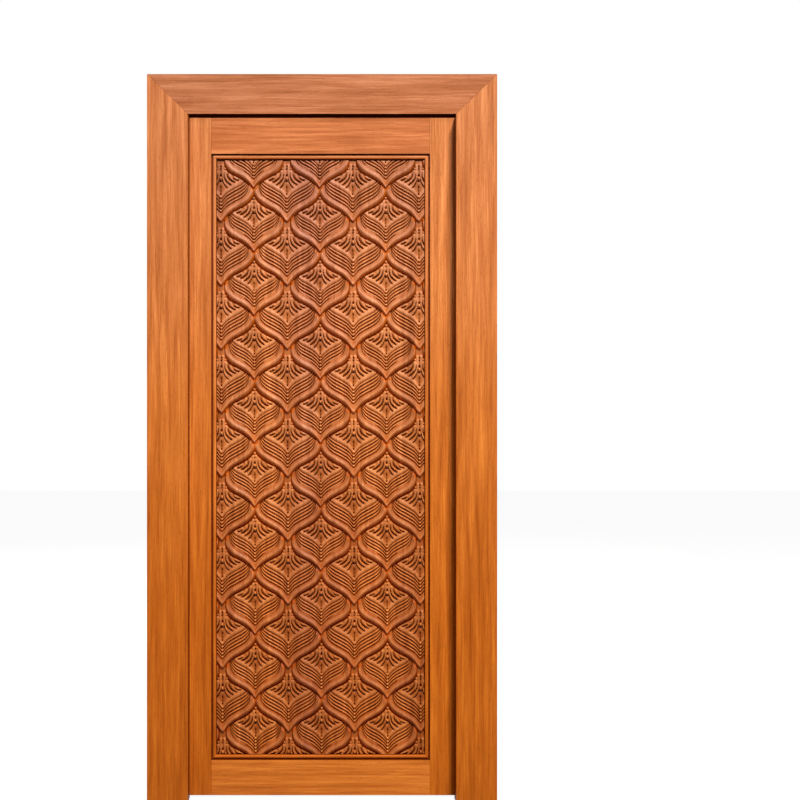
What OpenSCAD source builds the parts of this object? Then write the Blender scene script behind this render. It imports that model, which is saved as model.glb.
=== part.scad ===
// Carved teak door: a rebated frame with mitred head, a framed leaf with a
// carved ogee panel, and brass butt hinges. Millimetres, Z up, front toward -Y.

/* [Leaf] */
// Width of the leaf
leaf_w = 813; // [700:1:1000]
// Height of the leaf
leaf_h = 2043; // [1900:1:2300]
// Thickness of the leaf
leaf_t = 40; // [38:1:50]
// Width of the stile on the hinge side
hinge_stile_w = 73.5; // [65:0.5:110]
// Width of the stile on the lock side
lock_stile_w = 82.5; // [70:0.5:120]
// Width of the top rail
top_rail_w = 116; // [90:1:160]
// Width of the bottom rail
bottom_rail_w = 105; // [90:1:220]
// How far the rail tenons enter the stiles
tenon_len = 55; // [30:1:60]
// Shoulder above and below each rail tenon
tenon_shoulder = 12; // [8:1:20]

/* [Frame] */
// Face width of the posts
post_face = 121; // [90:1:150]
// Face width of the head
head_face = 118; // [90:1:150]
// Depth of the frame from front to back
frame_depth = 100; // [80:1:140]
// How far the leaf closes behind the frame's inner edge
rebate = 12; // [8:1:16]
// Loose tenon across each mitre: thickness
mitre_tenon_t = 14; // [8:1:20]
// Loose tenon across each mitre: width along the mitre
mitre_tenon_w = 70; // [40:1:90]
// Loose tenon across each mitre: length
mitre_tenon_len = 76; // [40:1:90]

/* [Panel and beads] */
// Depth from the leaf's face to the panel's ground
ground_depth = 18; // [15:0.5:20]
// Thickness of the panel below its ground, and of the groove that holds it
tongue_t = 12; // [8:0.5:12]
// How far the panel enters its groove
tongue_in = 10; // [6:0.5:12]
// Room for the panel to swell at the bottom of the groove
swell_gap = 2; // [1:0.5:4]
// Width of the front bead strip, with its quirk
bead_w = 15; // [12:0.5:20]
// Width of the round of the front bead
bead_round = 10; // [6:0.5:11]
// How far the top of the bead lies below the leaf's face
bead_sunk = 4; // [1:0.5:8]
// How far the quirk goes below the widest line of the bead's round
quirk_drop = 1; // [0.5:0.5:3]
// Width of the back bead
back_bead_w = 12; // [8:0.5:18]
// Thickness of the back bead
back_bead_t = 7; // [4:0.5:10]
// Width of the back bead's flat top, beside its slope
back_bead_flat = 5; // [2:0.5:8]
// Thickness of the back bead at its thin edge
back_bead_edge = 3; // [2:0.5:4]

/* [Carving] */
// Distance between neighbouring columns of motifs
column_pitch = 99.5; // [90:0.5:110]
// Height of one repeat
row_pitch = 192; // [170:1:210]
// Height of the lowest pointed tip above the carved field's bottom edge
first_tip = 168; // [120:0.5:185]
// Rise of the pointed motif's rim from its tip to its shoulder
pointed_rise = 86; // [70:1:95]
// Rise of the open motif's rim from its tip to where it meets its neighbour
open_rise = 83; // [70:1:95]
// Half width of the neck between the shoulders of the pointed motifs
neck = 9; // [4:0.5:14]
// Height of the rims above the ground
rim_high = 11; // [6:0.5:13]
// Height of the reeds above the ground
reed_high = 7.5; // [4:0.5:10]
// Height of the grooves between the reeds above the ground
groove_high = 3; // [1:0.5:5]
// Width of the rim, measured upright
rim_w = 30; // [22:0.5:34]
// Width of one reed, measured upright
reed_w = 10.1; // [8:0.1:12]
// Number of reeds inside the rim
reeds = 4; // [2:1:4]
// Height of the boss in the middle of each palmette
boss_high = 8; // [4:0.5:10]
// Height of the palmette's root above its motif's tip
fan_start = 138; // [120:1:150]

/* [Hinges] */
// Height of a hinge
hinge_h = 100; // [75:1:125]
// Width of a hinge flap that is let into the wood
flap_w = 32; // [26:1:34]
// Thickness of a hinge flap
flap_t = 3; // [2:0.1:4]
// Radius of the hinge barrel
barrel_r = 6; // [5:0.1:7]
// Radius of the hinge pin
pin_r = 3; // [2.5:0.1:3.5]
// Radius of the button on top of the pin
button_r = 4.6; // [4:0.1:6]
// Height of the button on top of the pin
button_h = 3; // [2:0.1:5]
// Width of the chamfer round the button
button_chamfer = 1.4; // [0.4:0.1:1.8]
// Distance from the leaf's top to the middle of the top hinge
top_hinge_drop = 200; // [150:1:260]
// Distance from the leaf's bottom to the middle of the bottom hinge
bottom_hinge_rise = 250; // [180:1:300]
// Radius of a screw's shank
screw_r = 2.2; // [1.8:0.1:2.6]
// Radius of a screw's head
screw_head_r = 4.5; // [4:0.1:5]
// Length of a screw
screw_len = 38; // [25:1:45]
// Length of a screw's point
screw_point = 7; // [4:0.5:10]
// Distance from the back of the leaf to the nearer row of screws
screw_near = 10; // [8:0.5:12]
// Distance from the back of the leaf to the farther row of screws
screw_far = 22; // [18:0.5:24]

/* [Clearances] */
// Gap between the leaf and the frame
leaf_gap = 3; // [2:0.5:5]
// Gap between the leaf and the floor
floor_gap = 8; // [4:1:15]
// Gap between the carved field and the beads
field_gap = 0.5; // [0.2:0.1:1]
// Gap between the barrel and the back of the frame
barrel_gap = 0.5; // [0.3:0.1:2]
// Radial play of the hinge pin
pin_play = 0.05; // [0.02:0.01:0.1]
// Gap between neighbouring knuckles and around them
knuckle_gap = 0.4; // [0.2:0.1:0.8]
// Play of a screw's shank in its hole
screw_play = 0.05; // [0.02:0.01:0.2]
// Room past the end of a tenon
tenon_room = 1; // [0.5:0.5:3]

/* [Hidden] */

teak = [0.72, 0.43, 0.22];
brass = [0.78, 0.62, 0.3];
steel = [0.7, 0.68, 0.62];

open_w = leaf_w + 2 * (leaf_gap - rebate);
head_rebate = rebate * head_face / post_face;
open_h = floor_gap + leaf_h + leaf_gap - head_rebate;
frame_w = open_w + 2 * post_face;
frame_h = open_h + head_face;
half_w = frame_w / 2;
half_open = open_w / 2;

back_y = (frame_depth - 2 * barrel_r - barrel_gap) / 2;
front_y = back_y - frame_depth;
leaf_y = back_y - leaf_t;
leaf_top = floor_gap + leaf_h;

panel_w = leaf_w - hinge_stile_w - lock_stile_w;
panel_x = (hinge_stile_w - lock_stile_w) / 2;
panel_left = panel_x - panel_w / 2;
panel_right = panel_x + panel_w / 2;
panel_h = leaf_h - top_rail_w - bottom_rail_w;
panel_z = floor_gap + bottom_rail_w;
panel_mid = panel_z + panel_h / 2;
ground_y = leaf_y + ground_depth;
panel_back_y = ground_y + tongue_t;
groove_in = tongue_in + swell_gap;
// How far a cut runs past the face that it opens
past = 1;

post_edge = -half_open - rebate;
leaf_edge = -leaf_w / 2;
pin_x = leaf_edge - leaf_gap / 2;
pin_y = back_y + barrel_gap + barrel_r;
bottom_hinge_z = floor_gap + bottom_hinge_rise;
top_hinge_z = leaf_top - top_hinge_drop;
hinge_zs = [bottom_hinge_z, (bottom_hinge_z + top_hinge_z) / 2, top_hinge_z];
knuckles = 5;
knuckle_h = hinge_h / knuckles;
screw_steps = [-0.37, -0.13, 0.13, 0.37];

// A flat board standing in the XZ plane, from depth y0 back to y1
module board(y0, y1, outline) {
    translate([0, y1, 0])
        rotate([90, 0, 0])
            linear_extrude(y1 - y0)
                polygon(outline);
}

// A box between two corners
module block(low, high) {
    translate(low)
        cube(high - low);
}

// Loose tenon across a mitre, and its mortise when room is given
module mitre_key(side, room) {
    translate([side * (half_open + half_w) / 2, (front_y + leaf_y) / 2, (open_h + frame_h) / 2])
        rotate([0, side * atan2(head_face, post_face), 0])
            cube([mitre_tenon_w, mitre_tenon_t, mitre_tenon_len + 2 * room], center = true);
}

// One post: full face in front, stepped back by the rebate behind
module post(side) {
    back_edge = half_open + rebate;
    difference() {
        union() {
            board(front_y, leaf_y, [[side * half_w, 0], [side * half_w, frame_h],
                [side * half_open, open_h], [side * half_open, 0]]);
            board(leaf_y, back_y, [[side * half_w, 0], [side * half_w, frame_h],
                [side * back_edge, open_h + head_rebate], [side * back_edge, 0]]);
        }
        mitre_key(side, tenon_room);
    }
}

module hinge_post() {
    color(teak)
        difference() {
            post(-1);
            for (z = hinge_zs) {
                block([post_edge - flap_t, back_y - flap_w, z - hinge_h / 2],
                    [post_edge + past, back_y + past, z + hinge_h / 2]);
                flap_screws(z, -1, screw_play);
            }
        }
}

module lock_post() {
    color(teak)
        post(1);
}

module head() {
    back_edge = half_open + rebate;
    back_z = open_h + head_rebate;
    color(teak)
        difference() {
            union() {
                board(front_y, leaf_y, [[-half_w, frame_h], [half_w, frame_h],
                    [half_open, open_h], [-half_open, open_h]]);
                board(leaf_y, back_y, [[-half_w, frame_h], [half_w, frame_h],
                    [back_edge, back_z], [-back_edge, back_z]]);
            }
            mitre_key(-1, tenon_room);
            mitre_key(1, tenon_room);
        }
}

module mitre_tenon(side) {
    color(teak)
        mitre_key(side, 0);
}

// Rail tenon from the shoulder outward, centred in the groove's depth
module rail_tenon(z0, z1, side, room) {
    translate([side > 0 ? panel_right : panel_left - tenon_len - room, ground_y, z0])
        cube([tenon_len + room, tongue_t, z1 - z0]);
}

// Heights between which each rail's tenon stands
bottom_tenon = [floor_gap + tenon_shoulder, panel_z - groove_in - tenon_shoulder];
top_tenon = [panel_z + panel_h + groove_in + tenon_shoulder, leaf_top - tenon_shoulder];

// One stile with the panel groove and the rail mortises
module stile(side) {
    outer = leaf_w / 2;
    difference() {
        block([side > 0 ? panel_right : -outer, leaf_y, floor_gap],
            [side > 0 ? outer : panel_left, back_y, leaf_top]);
        block([side > 0 ? panel_right - past : panel_left - groove_in, ground_y, panel_z - groove_in],
            [side > 0 ? panel_right + groove_in : panel_left + past, panel_back_y,
            panel_z + panel_h + groove_in]);
        rail_tenon(bottom_tenon[0], bottom_tenon[1], side, tenon_room);
        rail_tenon(top_tenon[0], top_tenon[1], side, tenon_room);
    }
}

module hinge_stile() {
    color(teak)
        difference() {
            stile(-1);
            for (z = hinge_zs) {
                block([leaf_edge - past, back_y - flap_w, z - hinge_h / 2],
                    [leaf_edge + flap_t, back_y + past, z + hinge_h / 2]);
                flap_screws(z, 1, screw_play);
            }
        }
}

module lock_stile() {
    color(teak)
        stile(1);
}

// One rail with its tenons; the panel groove lies between z0 and z1
module rail(low, high, tenon, groove_z0, groove_z1) {
    color(teak)
        difference() {
            union() {
                block([panel_left, leaf_y, low], [panel_right, back_y, high]);
                rail_tenon(tenon[0], tenon[1], -1, 0);
                rail_tenon(tenon[0], tenon[1], 1, 0);
            }
            block([panel_left - past, ground_y, groove_z0],
                [panel_right + past, panel_back_y, groove_z1]);
        }
}

module bottom_rail() {
    rail(floor_gap, panel_z, bottom_tenon, panel_z - groove_in, panel_z + past);
}

module top_rail() {
    low = panel_z + panel_h;
    rail(low, leaf_top, top_tenon, low - past, low + groove_in);
}

// Front bead's section: depth from the leaf's face, then width from the edge
module front_bead_section() {
    r = bead_round / 2;
    mid = bead_w - r;
    quirk_depth = bead_sunk + r + quirk_drop;
    polygon(concat(
        [[ground_depth, 0], [quirk_depth, 0], [quirk_depth, bead_w - bead_round]],
        [for (turn = [0 : 18 : 180]) [bead_sunk + r - r * sin(turn), mid - r * cos(turn)]],
        [[ground_depth, bead_w]]));
}

// Back bead's section: a flat strip with a sloped inner half
module back_bead_section() {
    low = ground_depth + tongue_t;
    high = low + back_bead_t;
    polygon([[low, 0], [high, 0], [high, back_bead_flat],
        [low + back_bead_edge, back_bead_w], [low, back_bead_w]]);
}

// A strip along one edge of the panel opening, mitred at both ends
module edge_strip(quarter, width) {
    across = quarter % 2 == 0;
    len = across ? panel_w : panel_h;
    reach = across ? panel_h / 2 : panel_w / 2;
    color(teak)
        translate([panel_x, leaf_y, panel_mid])
            rotate([0, 90 * quarter, 0])
                translate([-len / 2, 0, -reach])
                    intersection() {
                        rotate([90, 0, 90])
                            linear_extrude(len)
                                children();
                        board(0, leaf_t, [[0, 0], [len, 0], [len - width, width], [width, width]]);
                    }
}

module front_bead(quarter) {
    edge_strip(quarter, bead_w)
        front_bead_section();
}

module back_bead(quarter) {
    edge_strip(quarter, back_bead_w)
        back_bead_section();
}

// The carving: nested ogee lines in two kinds of columns, one kind with
// pointed tips and one with open tips that rise from the neck.
field_w = panel_w - 2 * (bead_w + field_gap);
field_h = panel_h - 2 * (bead_w + field_gap);
// Height of the rim's foot above the ground
foot_high = 1;
// Share of the rim's upright width at which its crest lies
crest_share = 0.42;
// Straight share of the pointed rim's rise, and how sharply its shoulder turns up
straight = 0.66;
shoulder_turn = 20;
// Slope of the open rim halfway up, as a share of its mean slope
open_slope = 0.6;
// Slope of the open tip across the neck
lip_slope = 0.6;
// How much the rim widens at the shoulder, and how late
shoulder_spread = 1.2;
shoulder_late = 12;
// Slopes and heights of the palmette's lines, and their least distance from the rim above
fan_slopes = [-0.7, 0.1];
fan_high = [reed_high, groove_high];
fan_room = 1;
// Where the lines are drawn between two columns, and the least share left at the field's edge
station = [0, 0.12, 0.4, 0.7, 0.88, 1];
edge_room = 0.05;

function clip(v, low, high) = min(max(v, low), high);
function pointed_foot(x) =
    let (t = clip(x / (column_pitch - neck), 0, 1))
    pointed_rise * (straight * t + (1 - straight) * (1 - sqrt(1 - pow(t, shoulder_turn))));
function open_foot(u) =
    let (t = (u - neck) / (column_pitch - neck) - 0.5)
    u < neck ? lip_slope * (u - neck)
        : open_rise * (0.5 + open_slope * t + 4 * (1 - open_slope) * pow(t, 3));
function rim_at(x) = rim_w * (1 + shoulder_spread * pow(x / (column_pitch - neck), shoulder_late));

// Lines of one motif at a distance x from its middle, as [height, relief]
function motif(x, foot, top) =
    let (inner = foot + rim_at(x))
    let (lines = concat(
        [[foot, foot_high], [foot + crest_share * (inner - foot), rim_high], [inner, groove_high]],
        [for (i = [0 : reeds - 1]) each [[inner + (i + 0.5) * reed_w, reed_high],
            [inner + (i + 1) * reed_w, groove_high]]]))
    let (veins = [for (p = lines) p[0] < top ? p : [top, foot_high]])
    let (base = veins[len(veins) - 1])
    concat(veins, [for (i = [0 : len(fan_slopes) - 1])
        let (z = min(fan_start, top - fan_room) + fan_slopes[i] * x)
        z <= base[0] ? base : z >= top ? [top, foot_high]
            : [z, x == 0 ? boss_high : fan_high[i]]]);

// One repeat at a distance x from a pointed column, measured from its tip
function repeat(x) =
    let (u = column_pitch - x)
    let (mid = pointed_rise + open_foot(u))
    let (low = x < column_pitch - neck ? min(pointed_foot(x), mid) : mid)
    let (next = min(low, mid) + row_pitch)
    let (raised = [for (p = motif(u, mid - pointed_rise, next - pointed_rise))
        [p[0] + pointed_rise, p[1]]])
    concat(motif(x, low, mid), raised);

// All lines crossed by the upright at x, cut to the carved field
function upright(x) =
    let (turn = abs(x) / column_pitch)
    let (part = turn - floor(turn))
    let (local = floor(turn) % 2 == 0 ? part : 1 - part)
    let (one = repeat(local * column_pitch))
    let (line = [for (k = [-2 : ceil(field_h / row_pitch)], p = one)
        [p[0] + first_tip + k * row_pitch, p[1]]])
    let (low = relief_at(line, 0))
    let (high = relief_at(line, field_h))
    [for (p = line) p[0] < 0 ? [0, low] : p[0] > field_h ? [field_h, high] : p];

function relief_at(line, z) =
    let (hit = [for (i = [0 : len(line) - 2])
        if (line[i][0] <= z && line[i + 1][0] > z) i])
    let (a = line[hit[0]])
    let (b = line[hit[0] + 1])
    a[1] + (b[1] - a[1]) * (z - a[0]) / (b[0] - a[0]);

edge_part = field_w / 2 / column_pitch - floor(field_w / 2 / column_pitch);
half_stations = concat(
    [for (c = [0 : floor(field_w / 2 / column_pitch) - 1], s = [0 : len(station) - 2])
        (c + station[s]) * column_pitch],
    [for (s = station) if (s < edge_part - edge_room)
        (floor(field_w / 2 / column_pitch) + s) * column_pitch],
    [field_w / 2]);
last = len(half_stations) - 1;
stations = concat([for (i = [last : -1 : 1]) -half_stations[i]], half_stations);

module carved_panel() {
    field_z = panel_z + bead_w + field_gap;
    grid = [for (x = stations) [for (p = upright(x)) [panel_x + x, ground_y - p[1], field_z + p[0]]]];
    cols = len(grid);
    rows = len(grid[0]);
    tops = [for (col = grid, p = col) p];
    feet = cols * rows;
    // Outline of the field at ground level, walked round from the lower left
    rim_ids = concat([for (i = [0 : cols - 1]) i * rows],
        [for (j = [1 : rows - 1]) (cols - 1) * rows + j],
        [for (i = [cols - 2 : -1 : 0]) i * rows + rows - 1],
        [for (j = [rows - 2 : -1 : 1]) j]);
    walk = [for (k = [0 : len(rim_ids) - 1])
        if (tops[rim_ids[k]] != tops[rim_ids[(k + 1) % len(rim_ids)]]) rim_ids[k]];
    n = len(walk);
    ground = [for (k = walk) [tops[k][0], ground_y, tops[k][2]]];
    corner_x = [panel_left - tongue_in, panel_right + tongue_in];
    corner_z = [panel_z - tongue_in, panel_z + panel_h + tongue_in];
    corners = [for (y = [ground_y, panel_back_y])
        each [[corner_x[0], y, corner_z[0]], [corner_x[1], y, corner_z[0]],
            [corner_x[1], y, corner_z[1]], [corner_x[0], y, corner_z[1]]]];
    box = feet + n;
    // Side of the field each outline point starts along: 0 bottom, 1 right, 2 top, 3 left
    field_left = panel_x - field_w / 2;
    field_right = panel_x + field_w / 2;
    function side_of(p) = p[2] <= field_z && p[0] < field_right ? 0
        : p[0] >= field_right && p[2] < field_z + field_h ? 1
        : p[2] >= field_z + field_h && p[0] > field_left ? 2 : 3;
    skin = [for (i = [0 : cols - 2], j = [0 : rows - 2])
        let (a = i * rows + j)
        let (b = a + rows)
        each [[a, a + 1, b + 1], [a, b + 1, b]]];
    walls = [for (k = [0 : n - 1])
        let (m = (k + 1) % n)
        each [[walk[k], walk[m], feet + m], [walk[k], feet + m, feet + k]]];
    ledge = [for (k = [0 : n - 1])
        let (m = (k + 1) % n)
        let (s = side_of(ground[k]))
        let (t = side_of(ground[m]))
        each concat([[feet + k, feet + m, box + s]],
            s == t ? [] : [[feet + m, box + t, box + s]])];
    rest = [for (s = [0 : 3])
        let (t = (s + 1) % 4)
        each [[box + s, box + t, box + 4 + t], [box + s, box + 4 + t, box + 4 + s]]];
    back = [[box + 4, box + 5, box + 6], [box + 4, box + 6, box + 7]];
    points = concat(tops, ground, corners);
    color(teak)
        polyhedron(points, [for (f = concat(skin, walls, ledge, rest, back))
            if (points[f[0]] != points[f[1]] && points[f[1]] != points[f[2]]
                && points[f[2]] != points[f[0]]) f]);
}

// Four countersunk screws of one flap, into the post or into the stile
module flap_screws(z, side, play) {
    face = side < 0 ? post_edge : leaf_edge;
    for (i = [0 : len(screw_steps) - 1])
        translate([face, back_y - (i % 2 == 0 ? screw_far : screw_near), z + screw_steps[i] * hinge_h])
            rotate([0, side * 90, 0])
                flap_screw(play);
}

// One screw along Z, its head flush with the origin
module flap_screw(play) {
    rotate_extrude($fn = 32)
        polygon([[0, 0], [screw_head_r + play, 0], [screw_r + play, flap_t],
            [screw_r + play, screw_len - screw_point], [0, screw_len]]);
}

// One half of a hinge at height z: side -1 sits on the post, 1 on the leaf
module flap(z, side) {
    x0 = side < 0 ? post_edge - flap_t : leaf_edge;
    own = side < 0 ? 0 : 1;
    color(brass)
        translate([0, 0, z])
            difference() {
                union() {
                    block([x0, back_y - flap_w, -hinge_h / 2], [x0 + flap_t, pin_y, hinge_h / 2]);
                    for (k = [own : 2 : knuckles - 1])
                        knuckle(k, barrel_r, -knuckle_gap / 2);
                }
                for (k = [1 - own : 2 : knuckles - 1])
                    knuckle(k, barrel_r + knuckle_gap, knuckle_gap / 2);
                translate([pin_x, pin_y, -hinge_h])
                    cylinder(r = pin_r + pin_play, h = 2 * hinge_h, $fn = 48);
                translate([0, 0, -z])
                    flap_screws(z, side, screw_play);
            }
}

// One knuckle of the barrel, grown at both ends by the given amount
module knuckle(k, r, grow) {
    translate([pin_x, pin_y, k * knuckle_h - hinge_h / 2 - grow])
        cylinder(r = r, h = knuckle_h + 2 * grow, $fn = 48);
}

module hinge_pin(z) {
    head_z = hinge_h / 2 - knuckle_gap / 2;
    color(brass)
        translate([pin_x, pin_y, z])
            rotate_extrude($fn = 48)
                polygon([[0, -hinge_h / 2], [pin_r, -hinge_h / 2], [pin_r, head_z],
                    [button_r, head_z], [button_r, head_z + button_h - button_chamfer],
                    [button_r - button_chamfer, head_z + button_h], [0, head_z + button_h]]);
}

module hinge_screws(side) {
    color(steel)
        for (z = hinge_zs)
            flap_screws(z, side, 0);
}

hinge_post();
lock_post();
head();
mitre_tenon(-1);  // mitre_tenon_left
mitre_tenon(1);  // mitre_tenon_right
hinge_stile();
lock_stile();
top_rail();
bottom_rail();
carved_panel();
front_bead(0);  // front_bead_bottom
front_bead(1);  // front_bead_left
front_bead(2);  // front_bead_top
front_bead(3);  // front_bead_right
back_bead(0);  // back_bead_bottom
back_bead(1);  // back_bead_left
back_bead(2);  // back_bead_top
back_bead(3);  // back_bead_right
flap(hinge_zs[0], -1);  // frame_flap_bottom
flap(hinge_zs[1], -1);  // frame_flap_middle
flap(hinge_zs[2], -1);  // frame_flap_top
flap(hinge_zs[0], 1);  // door_flap_bottom
flap(hinge_zs[1], 1);  // door_flap_middle
flap(hinge_zs[2], 1);  // door_flap_top
hinge_pin(hinge_zs[0]);  // hinge_pin_bottom
hinge_pin(hinge_zs[1]);  // hinge_pin_middle
hinge_pin(hinge_zs[2]);  // hinge_pin_top
hinge_screws(-1);  // frame_hinge_screws
hinge_screws(1);  // door_hinge_screws
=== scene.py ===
"""Looks of a teak door with a carved ogee panel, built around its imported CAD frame.

The frame, leaf and hinges keep their CAD solids and get softened edges and finishes.
The carving and the front beads are modelled here and stand for their plainer CAD nodes.
Outlines are in millimetres; meshes are made in metres, Z up, with the front toward -Y.
"""

import logging
import math
from dataclasses import dataclass, field, replace
from enum import Enum

import bmesh
import bpy
import numpy as np
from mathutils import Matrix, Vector
from mathutils.geometry import delaunay_2d_cdt


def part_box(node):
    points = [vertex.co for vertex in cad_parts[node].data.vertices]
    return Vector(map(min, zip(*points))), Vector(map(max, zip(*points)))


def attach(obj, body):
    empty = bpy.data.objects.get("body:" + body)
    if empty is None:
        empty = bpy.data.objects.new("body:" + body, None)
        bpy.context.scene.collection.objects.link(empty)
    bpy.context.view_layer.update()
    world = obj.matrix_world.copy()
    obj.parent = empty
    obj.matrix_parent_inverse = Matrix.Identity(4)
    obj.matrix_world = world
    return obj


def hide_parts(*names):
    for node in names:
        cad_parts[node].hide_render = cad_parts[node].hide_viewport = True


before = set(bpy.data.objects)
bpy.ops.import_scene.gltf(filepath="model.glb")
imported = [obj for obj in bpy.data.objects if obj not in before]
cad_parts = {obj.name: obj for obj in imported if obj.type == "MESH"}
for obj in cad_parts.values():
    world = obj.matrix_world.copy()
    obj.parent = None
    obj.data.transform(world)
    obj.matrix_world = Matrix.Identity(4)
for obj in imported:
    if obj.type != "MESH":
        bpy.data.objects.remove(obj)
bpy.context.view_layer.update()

MM = 0.001
LEAF = "leaf"
Socket = bpy.types.NodeSocket
Points = tuple[tuple[float, float], ...]
Place = tuple[float, float, float]
Colour = tuple[float, float, float]
Stops = tuple[tuple[float, Colour], ...]
Span = tuple[float, float]
Limits = tuple[Span, Span]
Lump = tuple[np.ndarray, list[list[int]]]

log = logging.getLogger("teak_door")


def eased(share: np.ndarray) -> np.ndarray:
    """Cut shares off below 0 and above 1 and turn them into a smooth rise."""
    share = np.clip(share, 0, 1)
    return share * share * (3 - 2 * share)


def distances(places: np.ndarray, path: np.ndarray) -> np.ndarray:
    """Give the distances from each place, one a row, to each point of a path."""
    return np.hypot(*(places[:, None, :] - path[None, :, :]).transpose(2, 0, 1))


class Grain(Enum):
    """The axis along which the grain of a board runs, counted from X."""

    LEVEL = 0
    UPRIGHT = 2


class NodeSheet:
    """A node tree, filled one named step at a time."""

    def __init__(self, tree: bpy.types.NodeTree) -> None:
        """Start with the tree emptied."""
        self.tree = tree
        self.tree.nodes.clear()

    def link(self, source: Socket, target: Socket) -> None:
        """Join an output to an input."""
        self.tree.links.new(source, target)

    def feed(self, socket: Socket, value: object) -> None:
        """Set an input, or join it when the value is another node's output.

        Args:
            socket: The input.
            value: A constant or an output.
        """
        if isinstance(value, Socket):
            self.link(value, socket)
        else:
            socket.default_value = value

    def add(self, kind: str, inputs: dict[str | int, object] | None = None) -> bpy.types.Node:
        """Add a node.

        Args:
            kind: Its type, without the start that all shader nodes share.
            inputs: Constants or outputs for its inputs, by name or number.

        Returns:
            The new node.
        """
        node = self.tree.nodes.new(f"ShaderNode{kind}")
        for key, value in (inputs or {}).items():
            self.feed(node.inputs[key], value)
        return node

    def place(self, shift: Place, scale: Place) -> Socket:
        """Give the object's own coordinates, shifted and scaled.

        Args:
            shift: Shift in metres, so that each board shows its own grain.
            scale: Scale along each axis.

        Returns:
            The mapped coordinates.
        """
        coords = self.add("TexCoord").outputs["Object"]
        return self.add("Mapping", {"Vector": coords, "Location": shift, "Scale": scale}).outputs["Vector"]

    def axis(self, name: str, source: str = "Object") -> Socket:
        """Give one axis of the object's own coordinates.

        Args:
            name: X, Y or Z.
            source: Object for places, or Normal for the way the surface faces.

        Returns:
            The value along that axis.
        """
        coords = self.add("TexCoord").outputs[source]
        return self.add("SeparateXYZ", {"Vector": coords}).outputs[name]

    def facing(self, name: str) -> Socket:
        """Give one axis, X, Y or Z, of the way the surface faces in the object's own coordinates."""
        return self.axis(name, "Normal")

    def spread(self, value: Socket, low: float, high: float, out_low: float = 0.0,
               out_high: float = 1.0, how: str = "SMOOTHSTEP") -> Socket:
        """Map a value from one range to another, clamped and by default smoothly.

        Args:
            value: The value.
            low: Start of its range.
            high: End of its range.
            out_low: What the start becomes.
            out_high: What the end becomes.
            how: Interpolation.

        Returns:
            The mapped value.
        """
        node = self.add("MapRange", {"Value": value, "From Min": low, "From Max": high,
                                     "To Min": out_low, "To Max": out_high})
        node.interpolation_type = how
        return node.outputs["Result"]

    def ramp(self, value: Socket, stops: Stops) -> Socket:
        """Turn a value into a colour.

        Args:
            value: The value, from 0 to 1.
            stops: Places on that range and their colours.

        Returns:
            The colour.
        """
        node = self.add("ValToRGB", {"Fac": value})
        elements = node.color_ramp.elements
        while len(elements) < len(stops):
            elements.new(0.5)
        for element, (place, colour) in zip(elements, stops):
            element.position = place
            element.color = (*colour, 1.0)
        return node.outputs["Color"]

    def math(self, how: str, first: object, second: object = 0.0) -> Socket:
        """Work out one value from two.

        Args:
            how: The operation.
            first: First constant or output.
            second: Second constant or output.

        Returns:
            The result.
        """
        node = self.add("Math", {0: first, 1: second})
        node.operation = how
        return node.outputs["Value"]

    def mix(self, how: str, share: object, under: object, over: object) -> Socket:
        """Mix two colours.

        Args:
            how: Blend type.
            share: How much of the upper colour shows.
            under: Lower colour or output.
            over: Upper colour or output.

        Returns:
            The mixed colour.
        """
        node = self.add("Mix")
        node.data_type = "RGBA"
        node.blend_type = how
        self.feed(node.inputs["Factor"], share)
        sockets = [s for s in node.inputs if s.type == "RGBA"]
        for socket, value in zip(sockets, (under, over)):
            self.feed(socket, value if isinstance(value, Socket) else (*value, 1.0))
        return next(s for s in node.outputs if s.type == "RGBA")

    def seen(self) -> Socket:
        """Tell which rays meet the white surroundings: the camera's own, mirrored and refracted ones.

        Returns:
            1 for those rays and 0 for the others.
        """
        rays = self.add("LightPath").outputs
        either = self.math("MAXIMUM", rays["Is Camera Ray"], rays["Is Glossy Ray"])
        return self.math("MAXIMUM", either, rays["Is Transmission Ray"])


class FinishSheet(NodeSheet):
    """The node tree of a finish, with its shader."""

    def __init__(self, name: str) -> None:
        """Start a material with only its output and shader.

        Args:
            name: Name of the material.
        """
        self.material = bpy.data.materials.new(name)
        self.material.use_nodes = True
        super().__init__(self.material.node_tree)
        self.shader = self.add("BsdfPrincipled")
        self.add("OutputMaterial", {"Surface": self.shader.outputs["BSDF"]})

    def show(self, name: str, value: object) -> None:
        """Set or join one of the shader's inputs."""
        self.feed(self.shader.inputs[name], value)

    def bump(self, height: Socket, strength: float, depth: float) -> None:
        """Give the shader a bumped normal.

        Args:
            height: Height of the surface, from 0 to 1.
            strength: Strength of the bump.
            depth: Its depth in metres.
        """
        node = self.add("Bump", {"Strength": strength, "Distance": depth, "Height": height})
        self.show("Normal", node.outputs["Normal"])


class PaintedHeightLight(Enum):
    """Painted light and shade by height, as factors of the teak's colour from the floor up: deeper orange
    toward the floor and paler with a painted sheen toward the top, where the lamps fall; the carving also
    darkens again at its very top with painted shade under the top bead.
    """

    BOARDS = (
        (0.0, (1.04, 0.71, 0.23)),
        (0.25, (1.06, 0.73, 0.25)),
        (0.40, (1.15, 0.86, 0.41)),
        (0.55, (1.16, 0.93, 0.62)),
        (0.69, (1.14, 1.00, 1.00)),
        (1.0, (0.99, 0.96, 1.32)),
    )
    CARVING = (
        (0.0, (0.71, 0.56, 0.43)),
        (0.31, (0.78, 0.665, 0.65)),
        (0.50, (0.845, 0.80, 0.93)),
        (0.68, (0.855, 0.85, 1.19)),
        (1.0, (0.605, 0.64, 1.28)),
    )


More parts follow.
